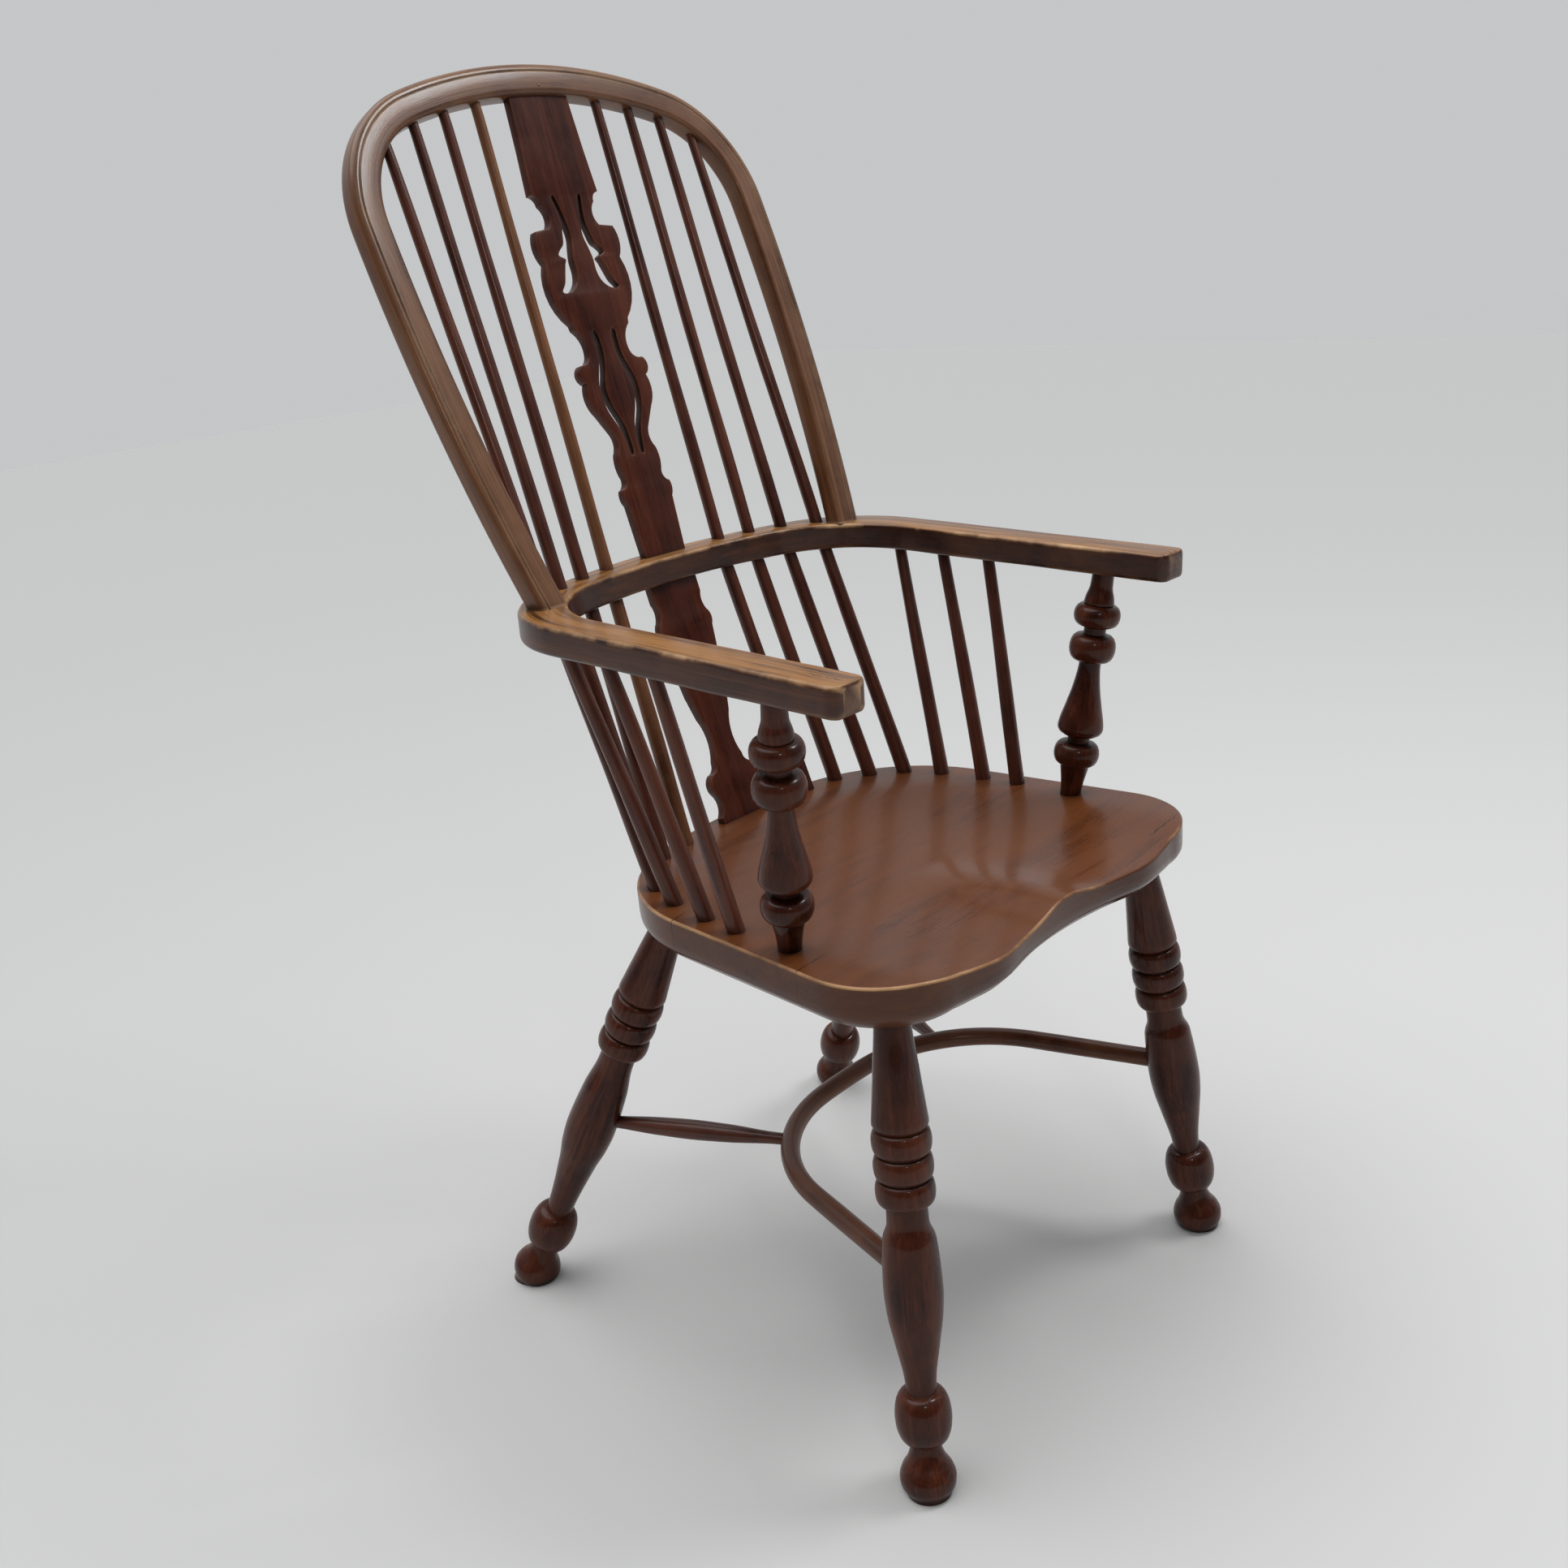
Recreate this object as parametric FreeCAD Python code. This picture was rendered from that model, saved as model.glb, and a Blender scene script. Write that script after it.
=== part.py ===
import FreeCAD, Part
import math
import os

# Windsor armchair: hooped high back, pierced splat, turned legs and a crinoline stretcher.
# Millimetres, +Z up, the front of the chair towards -Y, mirrored about the YZ plane.
# The origin is on the floor under the middle of the chair.

# Seat: a sawn plank with a hollowed top
seat_top = 447.0
seat_thickness = 39.0
seat_half_width = 232.0
seat_back_y = 176.0
seat_front_corner_y = -140.0
seat_front_corner_radius = 75.0
seat_front_dip = 7.0
seat_front_lobe = 6.0
seat_taper_deg = 5.4
seat_rear_corner_radius = 145.0
seat_back_arc_radius = 480.0
seat_under_bevel = 11.0
seat_top_round = 3.0
saddle_depth = 11.0
saddle_half_width = 186.0
saddle_middle_y = -60.0
saddle_back_y = 132.0
saddle_front_y = -160.0
pommel_height = 9.0
pommel_half_width = 34.0

# Arm bow: one bent rail from hand to hand round the back
arm_top_back = 698.0
arm_top_back_y = 225.0
arm_thickness = 25.0
arm_slope_deg = 2.05
arm_half_width = 239.0
arm_rail_width = 38.0
arm_end_y = -184.0
arm_end_chamfer = 7.0
arm_outer_corner_radius = 108.0
arm_inner_corner_radius = 104.0
arm_outer_back_radius = 535.0
arm_inner_back_radius = 500.0
arm_outer_back_y = 248.0
arm_inner_back_y = 216.0
arm_splay_deg = 0.4
arm_edge_round = 5.0

# Back hoop: one bent bow whose ends are tenoned into the arm bow
hoop_lean_deg = 21.5
hoop_front_y = 164.0
hoop_height = 473.0
hoop_width = 28.0
hoop_thickness = 21.0
hoop_half_width = 237.0
hoop_top_radius = 500.0
hoop_corner_radius = 120.0
hoop_side_radius = 1850.0
hoop_edge_round = 4.0
hoop_square_foot = 10.0
hoop_tenon_radius = 9.0
hoop_tenon_length = 15.0

# Splats
splat_thickness = 9.0
splat_arm_tongue = 10.0
splat_seat_tongue = 16.0
splat_hoop_tongue = 16.0
upper_splat_foot_y = 234.0
lower_splat_head_y = 229.0
lower_splat_foot_y = 160.0
slot_fit = 0.3
splat_pin_radius = 2.0
splat_pin_length = 17.0
splat_pin_inset = 21.0

# Right-hand edge of the upper splat above the arm bow: half-width and height,
# with the middle of the step first where it is an arc
upper_splat_edge = [
    (28.0, 50.0), (30.8, 58.0, 29.5, 65.0), (25.0, 68.0, 23.0, 75.0), (25.5, 86.0, 24.0, 98.0),
    (20.0, 108.0, 23.0, 119.0), (33.0, 136.0), (39.0, 149.0, 37.0, 165.0), (42.5, 173.0, 38.0, 182.0),
    (28.5, 184.5, 24.5, 192.0), (25.5, 204.0, 33.0, 214.0), (34.0, 219.0), (48.5, 244.0, 45.0, 275.0),
    (50.0, 290.0, 46.5, 304.0), (30.5, 306.0), (26.5, 314.0, 31.5, 327.0), (34.0, 333.5, 39.5, 336.0),
    (36.5, 375.0),
]
upper_splat_foot_half = 25.5
upper_splat_head_half = 34.0

# Pierced slots of the upper splat, right-hand side: x, height and width along the middle line
upper_slots = [
    [(12.0, 331.0, 2.4), (10.5, 310.0, 3.4), (15.0, 289.0, 6.0), (19.0, 272.0, 4.0), (23.0, 259.0, 6.4),
     (31.0, 252.0, 2.6)],
    [(11.0, 209.0, 2.4), (10.5, 187.0, 3.2), (18.0, 166.0, 3.6), (16.0, 146.0, 3.6), (7.0, 126.0, 3.2),
     (5.0, 97.0, 2.4)],
]

# Right-hand edge of the lower splat above the seat, written in the same way
lower_splat_edge = [
    (31.0, 5.0), (26.0, 16.0, 29.5, 28.0), (32.5, 37.0, 27.0, 47.0), (20.5, 50.0, 18.0, 57.0),
    (13.5, 79.0, 19.0, 101.0), (24.5, 124.0), (32.0, 184.0), (34.0, 193.0, 30.5, 200.0),
    (28.0, 208.0, 30.0, 218.0),
]
lower_splat_foot_half = 31.0
lower_splat_head_half = 30.0

# Long sticks run from the seat through the arm bow into the hoop
long_stick_feet = [(85.0, 154.0), (121.0, 147.0), (150.0, 125.0), (174.0, 99.0)]
long_stick_knees = [(73.0, 229.0), (109.0, 221.5), (144.0, 210.0), (176.0, 190.0)]
long_stick_heads = [70.0, 107.5, 143.0, 178.0]
long_stick_foot_radius = 7.75
long_stick_knee_radius = 6.5
long_stick_head_radius = 4.6

# Short sticks run from the seat into the arm bow
short_stick_feet = [(188.0, 62.0), (196.0, 16.0), (200.0, -22.0)]
short_stick_heads = [(219.0, 123.0), (222.0, 72.0), (222.0, 18.0)]
short_stick_foot_radius = 7.75
short_stick_head_radius = 5.75
stick_foot_tenon = 14.0
stick_head_tenon = 12.0

# Turned arm posts
post_foot = (201.0, -82.0)
post_head = (223.0, -110.0)
post_bead_radius = 21.5
post_neck_radius = 10.0
post_end_radius = 10.0
post_collar_radius = 13.5
post_tenon_radius = 7.5
post_head_tenon = 14.0
post_foot_tenon = 18.0

# Turned legs: where the leg's middle line meets the floor and the seat's underside
front_leg = ((224.0, -206.0), (182.5, -165.5))
back_leg = ((236.0, 289.0), (144.0, 116.0))
leg_pad_radius = 23.5
leg_pad_top = 18.0
leg_ankle_radius = 12.5
leg_ankle_height = 46.0
leg_ball_radius = 23.5
leg_ball_height = 68.0
leg_neck_height = 92.0
leg_belly_radius = 24.0
leg_belly_place = 0.516
leg_waist_radius = 16.5
leg_waist_below_seat = 159.0
leg_ring_radius = 24.0
leg_ring_pitch = 21.0
leg_ring_count = 3
leg_groove_radius = 20.5
leg_top_radius = 14.0
leg_tenon_radius = 12.5
leg_tenon_length = 16.0

# Crinoline stretcher and its two spurs
stretcher_height = 187.0
crinoline_radius = 9.0
crinoline_back_y = 56.0
crinoline_back_radius = 600.0
crinoline_corner_radius = 147.0
crinoline_taper_deg = 16.0
crinoline_tenon_length = 12.0
crinoline_step_deg = 8.0
spur_joint_x = 112.0
spur_end_radius = 5.5
spur_belly_radius = 9.5
spur_bow_tenon = 7.0
spur_leg_tenon = 14.0

# Flats round a turned piece and round a shaved stick
turned_sides = 16
shaved_sides = 12

# Joinery clearances
glue_gap = 0.15
end_gap = 1.0


def vec(x, y, z=0.0):
    return FreeCAD.Vector(x, y, z)


def line(start, end):
    return Part.LineSegment(vec(*start), vec(*end)).toShape()


def arc_through(start, middle, end):
    return Part.Arc(vec(*start), vec(*middle), vec(*end)).toShape()


def on_circle(centre, radius, degrees):
    turn = math.radians(degrees)
    return (centre[0] + radius * math.cos(turn), centre[1] + radius * math.sin(turn))


def arc_about(centre, radius, start_deg, end_deg):
    angles = (start_deg, (start_deg + end_deg) / 2.0, end_deg)
    return arc_through(*[on_circle(centre, radius, angle) for angle in angles])


def both_halves(edges):
    """Edges of the right half with their mirror images."""
    return edges + [edge.mirror(vec(0, 0), vec(1, 0)) for edge in edges]


def slab(edges, thickness):
    """Solid of the given thickness on a closed flat outline, below it where negative."""
    wire = Part.Wire(Part.__sortEdges__(edges))
    return Part.Face(wire).extrude(vec(0, 0, thickness))


def toward(start, end, distance):
    """Point at a distance from start on the line to end."""
    direction = end - start
    direction.normalize()
    return start + direction * distance


def placed(shape, frame):
    """Copy of a shape, carried from the origin's frame into another."""
    moved = shape.copy()
    moved.Placement = frame.multiply(shape.Placement)
    return moved


def outline_about(centre, along, radius, sides, steady=FreeCAD.Vector(1, 0, 0)):
    """Regular outline about a middle line, with one corner towards a steady direction."""
    across = (steady - along * along.dot(steady)).normalize()
    up = along.cross(across)
    corners = []
    for corner in range(sides):
        turn = 2.0 * math.pi * corner / sides
        corners.append(centre + across * (radius * math.cos(turn)) + up * (radius * math.sin(turn)))
    return Part.makePolygon(corners + corners[:1])


def turned(start, end, profile, sides=turned_sides):
    """Piece on the line from start to end; a profile step is a distance from start and a radius."""
    along = (end - start).normalize()
    outlines = [outline_about(start + along * step, along, radius, sides) for step, radius in profile]
    faces = [Part.Face(outlines[0]), Part.Face(outlines[-1])]
    for low, high in zip(outlines, outlines[1:]):
        below = [corner.Point for corner in low.OrderedVertexes]
        above = [corner.Point for corner in high.OrderedVertexes]
        for flat in range(sides):
            corners = [below[flat - 1], below[flat], above[flat], above[flat - 1], below[flat - 1]]
            faces.append(Part.Face(Part.makePolygon(corners)))
    shell = Part.makeShell(faces)
    shell.sewShape()
    return Part.makeSolid(shell)


def swell(low, high, edge_radius, rim_radius, steps=4):
    """Profile steps of a rounded bead, ring or belly."""
    rise = rim_radius - edge_radius
    return [(low + (high - low) * step / steps, edge_radius + rise * math.sin(math.pi * step / steps))
            for step in range(steps + 1)]


def rod(start, end, radius):
    """Plain shaved bar between two points."""
    return turned(start, end, [(0.0, radius), ((end - start).Length, radius)], shaved_sides)


def hole(start, end, radius):
    """Cutter whose flats all clear a bar of the given radius."""
    return rod(start, end, (radius + glue_gap) / math.cos(math.pi / shaved_sides))


def socket(mouth, outward, radius, depth):
    """Cutter for a tenon's socket that runs back from its mouth, away from outward."""
    return hole(toward(mouth, outward, 2.0 * radius), toward(mouth, outward, -depth), radius)


def keep_side(solid, point, normal, reach=2000.0):
    """Part of a solid on the side of a plane that the normal points to."""
    block = Part.makeBox(reach, reach, reach, vec(-reach / 2.0, -reach / 2.0, 0))
    facing = FreeCAD.Placement(point, FreeCAD.Rotation(vec(0, 0, 1), normal))
    return solid.common(placed(block, facing))


def bent_bar(foot, knee, head, radii):
    """Shaved bar from foot to head, bent at the knee; radii at foot, knee and head."""
    below = (knee - foot).normalize()
    above = (head - knee).normalize()
    stations = [(foot, below), (knee, (below + above).normalize()), (head, above)]
    outlines = [outline_about(centre, along, radius, shaved_sides)
                for (centre, along), radius in zip(stations, radii)]
    return Part.makeLoft(outlines, True, True)


def ease_edges(solid, width, wanted):
    return solid.makeChamfer(width, [edge for edge in solid.Edges if wanted(edge)])


# Bows: a U of two side lines, two corner arcs and a back arc, all tangent
def bow_corner(bow):
    """Centre of the corner arc that touches both the side line and the back arc."""
    taper = math.radians(bow["taper_deg"])
    normal = (math.cos(taper), math.sin(taper))
    along = (-normal[1], normal[0])
    back_centre = bow["back_y"] - bow["back_radius"]
    offset = normal[0] * bow["half_width"] + normal[1] * bow["wide_y"] - bow["corner_radius"]
    base = (normal[0] * offset, normal[1] * offset - back_centre)
    reach = bow["back_radius"] - bow["corner_radius"]
    half_b = base[0] * along[0] + base[1] * along[1]
    step = math.sqrt(half_b ** 2 - base[0] ** 2 - base[1] ** 2 + reach ** 2) - half_b
    return (base[0] + along[0] * step, base[1] + along[1] * step + back_centre)


def bow_half(bow, front_y):
    """Right half of the U from its front end to the middle of the back."""
    centre = bow_corner(bow)
    back_centre = (0.0, bow["back_y"] - bow["back_radius"])
    meet = math.degrees(math.atan2(centre[1] - back_centre[1], centre[0]))
    side = on_circle(centre, bow["corner_radius"], bow["taper_deg"])
    front_x = side[0] + (side[1] - front_y) * math.tan(math.radians(bow["taper_deg"]))
    return [
        line((front_x, front_y), side),
        arc_about(centre, bow["corner_radius"], bow["taper_deg"], meet),
        arc_about(back_centre, bow["back_radius"], meet, 90.0),
    ]


# Frames of the arm bow and of the hoop
def arm_frame(drop=0.0):
    """Placement on the arm bow's top face, or at a depth under it."""
    turn = FreeCAD.Rotation(vec(1, 0, 0), arm_slope_deg)
    rise = arm_top_back_y * math.tan(math.radians(arm_slope_deg))
    return FreeCAD.Placement(vec(0, 0, arm_top_back - rise) - turn.multVec(vec(0, 0, drop)), turn)


def on_arm(x, y, drop):
    """Point at plan position x, y and a depth under the arm bow's top face."""
    rise = (y - arm_top_back_y) * math.tan(math.radians(arm_slope_deg))
    return vec(x, y, arm_top_back + rise - drop)


def hoop_frame():
    return FreeCAD.Placement(vec(0, hoop_front_y, arm_top_back),
                             FreeCAD.Rotation(vec(1, 0, 0), 90.0 - hoop_lean_deg))


def in_hoop(x, rise, depth):
    """Point at x and a rise in the hoop's front plane, at a depth behind it."""
    return hoop_frame().multVec(vec(x, rise, -depth))


# Hoop outline in its own plane: a top arc, corner arcs and long side arcs, all tangent
hoop_corner_x = hoop_half_width - hoop_corner_radius
hoop_top_centre = hoop_height - hoop_top_radius
hoop_reach = hoop_top_radius - hoop_corner_radius
hoop_corner_rise = hoop_top_centre + math.sqrt(hoop_reach ** 2 - hoop_corner_x ** 2)


def hoop_side(inset, low_rise, high_rise):
    """Arc of the right-hand side at an inset, between two heights of the outer edge."""
    centre = (hoop_half_width - hoop_side_radius, hoop_corner_rise)
    ends = [math.asin((rise - hoop_corner_rise) / hoop_side_radius) for rise in (low_rise, high_rise)]
    return arc_about(centre, hoop_side_radius - inset, *[math.degrees(end) for end in ends])


def hoop_half(inset):
    """Right half of the outline at an inset, from its square foot to the middle."""
    meet = math.degrees(math.atan2(hoop_corner_rise - hoop_top_centre, hoop_corner_x))
    return [
        hoop_side(inset, hoop_square_foot, hoop_corner_rise),
        arc_about((hoop_corner_x, hoop_corner_rise), hoop_corner_radius - inset, 0.0, meet),
        arc_about((0.0, hoop_top_centre), hoop_top_radius - inset, meet, 90.0),
    ]


def hoop_inner_rise(x):
    """Rise of the hoop's inner edge at a distance x from the middle."""
    top_radius = hoop_top_radius - hoop_width
    if x <= top_radius * hoop_corner_x / hoop_reach:
        return hoop_top_centre + math.sqrt(top_radius ** 2 - x ** 2)
    corner_radius = hoop_corner_radius - hoop_width
    return hoop_corner_rise + math.sqrt(corner_radius ** 2 - (x - hoop_corner_x) ** 2)


def hoop_tenon_line(side):
    """Middle of the hoop's foot on the arm bow, and the end of its tenon."""
    radius = hoop_side_radius - hoop_width / 2.0
    turn = math.asin(-hoop_corner_rise / radius)
    foot_x = hoop_half_width - hoop_side_radius + radius * math.cos(turn)
    depth = hoop_thickness / 2.0
    mouth = in_hoop(side * foot_x, 0.0, depth)
    below = in_hoop(side * (foot_x + math.sin(turn)), -math.cos(turn), depth)
    return mouth, toward(mouth, below, hoop_tenon_length)


# Middle lines of the turned pieces; side is 1 for the sitter's left and -1 for the right
def long_stick_line(index, side):
    """Foot on the seat, bend inside the arm bow and head on the hoop's inner edge."""
    foot_x, foot_y = long_stick_feet[index]
    knee_x, knee_y = long_stick_knees[index]
    head_x = long_stick_heads[index]
    foot = vec(side * foot_x, foot_y, seat_top)
    knee = on_arm(side * knee_x, knee_y, arm_thickness / 2.0)
    return foot, knee, in_hoop(side * head_x, hoop_inner_rise(head_x), hoop_thickness / 2.0)


def short_stick_line(index, side):
    foot_x, foot_y = short_stick_feet[index]
    head_x, head_y = short_stick_heads[index]
    return vec(side * foot_x, foot_y, seat_top), on_arm(side * head_x, head_y, arm_thickness)


def post_line(side):
    foot = vec(side * post_foot[0], post_foot[1], seat_top)
    return foot, on_arm(side * post_head[0], post_head[1], arm_thickness)


def leg_line(leg, side):
    """Point on the floor and point at the seat's underside."""
    foot, top = leg
    under = seat_top - seat_thickness
    return vec(side * foot[0], foot[1], 0.0), vec(side * top[0], top[1], under)


def leg_at_stretcher(leg, side):
    foot, top = leg_line(leg, side)
    return foot + (top - foot) * (stretcher_height / top.z)


def crinoline_bow():
    leg = leg_at_stretcher(front_leg, 1)
    return dict(half_width=leg.x, wide_y=leg.y, back_y=crinoline_back_y,
                back_radius=crinoline_back_radius, corner_radius=crinoline_corner_radius,
                taper_deg=crinoline_taper_deg)


def crinoline_front_y():
    """Where the bow's ends stop inside the front legs."""
    return leg_at_stretcher(front_leg, 1).y + leg_belly_radius - crinoline_tenon_length


def spur_line(side):
    """Ends of a spur: inside the crinoline bow and inside the back leg."""
    centre = bow_corner(crinoline_bow())
    rise = math.sqrt(crinoline_corner_radius ** 2 - (spur_joint_x - centre[0]) ** 2)
    joint = vec(side * spur_joint_x, centre[1] + rise, stretcher_height)
    leg = leg_at_stretcher(back_leg, side)
    start = toward(joint, leg, crinoline_radius - spur_bow_tenon)
    return start, toward(leg, joint, leg_belly_radius - spur_leg_tenon)


# Splats
def splat_frame(foot, head):
    """Placement with +Y up the splat from its foot and +Z out of its front face."""
    lean = math.degrees(math.atan2(head.z - foot.z, head.y - foot.y))
    return FreeCAD.Placement(foot, FreeCAD.Rotation(vec(1, 0, 0), lean))


def upper_splat_ends():
    foot = on_arm(0.0, upper_splat_foot_y, 0.0)
    return foot, in_hoop(0.0, hoop_inner_rise(0.0), hoop_thickness / 2.0)


def lower_splat_ends():
    foot = vec(0.0, lower_splat_foot_y, seat_top)
    return foot, on_arm(0.0, lower_splat_head_y, arm_thickness)


def splat_plate(ends, foot_tongue, foot_half, steps, head_half, head_tongue):
    """Flat plate with the given right-hand edge, mirrored, and a tongue at each end."""
    foot, head = ends
    length = (head - foot).Length
    here = (foot_half, 0.0)
    edges = [line((0.0, -foot_tongue), (foot_half, -foot_tongue)), line((foot_half, -foot_tongue), here)]
    for step in steps + [(head_half, length), (head_half, length + head_tongue)]:
        there = step[-2:]
        edges.append(arc_through(here, step[:2], there) if len(step) == 4 else line(here, there))
        here = there
    edges.append(line(here, (0.0, here[1])))
    plate = slab(both_halves(edges), splat_thickness)
    plate.translate(vec(0, 0, -splat_thickness / 2.0))
    return plate


def splat_mortise(ends, half_width, tongue, at_head):
    """Cutter for a tongue's mortise, standing a little out of the rail's face."""
    foot, head = ends
    deep = tongue + end_gap if at_head else tongue
    proud = splat_thickness
    thick = splat_thickness + 2.0 * glue_gap
    wide = 2.0 * (half_width + glue_gap)
    low = (head - foot).Length - proud if at_head else -deep
    block = Part.makeBox(wide, deep + proud, thick, vec(-wide / 2.0, low, -thick / 2.0))
    return placed(block, splat_frame(foot, head))


def tapered_slot(points):
    """Slot round a smooth middle line of (x, height, width) points, with round ends."""
    middle = Part.BSplineCurve()
    middle.interpolate([vec(x, y) for x, y, width in points])
    sides = []
    for sign in (1, -1):
        edge_points = []
        for x, y, width in points:
            tangent = middle.tangent(middle.parameter(vec(x, y)))[0]
            edge_points.append(vec(x - sign * tangent.y * width / 2.0, y + sign * tangent.x * width / 2.0))
        curve = Part.BSplineCurve()
        curve.interpolate(edge_points)
        sides.append((curve, edge_points))
    edges = [arc.toShape() for curve, edge_points in sides for arc in curve.toBiArcs(slot_fit)]
    for end, sign in ((0, -1), (-1, 1)):
        x, y, width = points[end]
        tangent = middle.tangent(middle.parameter(vec(x, y)))[0]
        tip = vec(x, y) + tangent * (sign * width / 2.0)
        edges.append(Part.Arc(sides[0][1][end], tip, sides[1][1][end]).toShape())
    cutter = slab(edges, 2.0 * splat_thickness)
    cutter.translate(vec(0, 0, -splat_thickness))
    return cutter


def make_upper_splat():
    ends = upper_splat_ends()
    plate = splat_plate(ends, splat_arm_tongue, upper_splat_foot_half, upper_splat_edge,
                        upper_splat_head_half, splat_hoop_tongue)
    slots = [tapered_slot(points) for points in upper_slots]
    plate = plate.cut(slots + [slot.mirror(vec(0, 0), vec(1, 0)) for slot in slots])
    return placed(plate, splat_frame(*ends)).cut(splat_pin(glue_gap))


def make_lower_splat():
    ends = lower_splat_ends()
    plate = splat_plate(ends, splat_seat_tongue, lower_splat_foot_half, lower_splat_edge,
                        lower_splat_head_half, splat_arm_tongue)
    return placed(plate, splat_frame(*ends))


def splat_pin(gap=0.0):
    """Peg driven through the hoop's front face into the splat's tongue."""
    rise = hoop_height - splat_pin_inset
    outer = in_hoop(0.0, rise, -gap)
    return rod(outer, in_hoop(0.0, rise, splat_pin_length), (splat_pin_radius + gap) * (1.0 + gap))


# Seat
def seat_bow():
    return dict(half_width=seat_half_width, wide_y=seat_front_corner_y, back_y=seat_back_y,
                back_radius=seat_back_arc_radius, corner_radius=seat_rear_corner_radius,
                taper_deg=seat_taper_deg)


def seat_outline():
    radius = seat_front_corner_radius
    taper = math.radians(seat_taper_deg)
    # Centre of the front corner arc, which touches the side line
    inset = (seat_half_width - radius / math.cos(taper), seat_front_corner_y)
    side = on_circle(inset, radius, seat_taper_deg)
    corner = arc_about(inset, radius, -90.0, seat_taper_deg)
    front_y = inset[1] - radius
    lobe = (0.7 * inset[0], front_y - seat_front_lobe)
    front = Part.BSplineCurve()
    front.interpolate([vec(-inset[0], front_y), vec(-lobe[0], lobe[1]), vec(0, front_y + seat_front_dip),
                       vec(*lobe), vec(inset[0], front_y)])
    return both_halves([corner] + bow_half(seat_bow(), side[1])) + [front.toShape()]


def saddle_height(x, y):
    """Height of the hollowed surface, above the plank's top outside the hollow."""
    across = x / saddle_half_width
    back = max(0.0, (y - saddle_middle_y) / (saddle_back_y - saddle_middle_y))
    forward = (saddle_middle_y - y) / (saddle_middle_y - saddle_front_y)
    forward = min(1.0, max(0.0, forward))
    ridge = pommel_height * math.exp(-(x / pommel_half_width) ** 2) * math.sin(forward * math.pi / 2.0)
    hollow = saddle_depth * (1.0 - math.hypot(across, back) ** 3)
    return seat_top - hollow + ridge


def saddle_cutter():
    """Block above a smooth surface through a grid of heights."""
    columns = 13
    rows = 12
    margin = 20.0
    half = seat_half_width + margin
    front = seat_front_corner_y - seat_front_corner_radius - seat_front_lobe - margin
    grid = []
    for i in range(columns):
        x = half * (2.0 * i / (columns - 1) - 1.0)
        ys = [front + (seat_back_y + margin - front) * j / (rows - 1) for j in range(rows)]
        grid.append([vec(x, y, saddle_height(x, y)) for y in ys])
    surface = Part.BSplineSurface()
    surface.interpolate(grid)
    return surface.toShape().extrude(vec(0, 0, 3.0 * seat_thickness))


def make_seat():
    under = seat_top - seat_thickness
    plank = slab(seat_outline(), seat_thickness)
    plank.translate(vec(0, 0, under))
    plank = ease_edges(plank, seat_under_bevel, lambda edge: edge.BoundBox.ZMax < under + 0.01)
    plank = ease_edges(plank, seat_top_round, lambda edge: edge.BoundBox.ZMin > seat_top - 0.01)
    cutters = [saddle_cutter(), splat_mortise(lower_splat_ends(), lower_splat_foot_half,
                                              splat_seat_tongue, False)]
    for side in (-1, 1):
        for index in range(len(long_stick_feet)):
            foot, knee, head = long_stick_line(index, side)
            cutters.append(socket(foot, knee, long_stick_foot_radius, stick_foot_tenon))
        for index in range(len(short_stick_feet)):
            foot, head = short_stick_line(index, side)
            cutters.append(socket(foot, head, short_stick_foot_radius, stick_foot_tenon))
        foot, head = post_line(side)
        cutters.append(socket(foot, head, post_tenon_radius, post_foot_tenon))
        for leg in (front_leg, back_leg):
            foot, top = leg_line(leg, side)
            cutters.append(socket(top, foot, leg_tenon_radius, leg_tenon_length + end_gap))
    return plank.cut(cutters)


# Arm bow
def arm_edge_bow(inner):
    if inner:
        return dict(half_width=arm_half_width - arm_rail_width, wide_y=0.0, back_y=arm_inner_back_y,
                    back_radius=arm_inner_back_radius, corner_radius=arm_inner_corner_radius,
                    taper_deg=arm_splay_deg)
    return dict(half_width=arm_half_width, wide_y=0.0, back_y=arm_outer_back_y,
                back_radius=arm_outer_back_radius, corner_radius=arm_outer_corner_radius,
                taper_deg=arm_splay_deg)


def knee_hole(index, side):
    """Cutter for a long stick's way through the arm bow, bent with the stick."""
    foot, knee, head = long_stick_line(index, side)
    radius = (long_stick_knee_radius + glue_gap) / math.cos(math.pi / shaved_sides)
    reach = 1.5 * arm_thickness
    return bent_bar(toward(knee, foot, reach), knee, toward(knee, head, reach), [radius] * 3)


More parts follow.
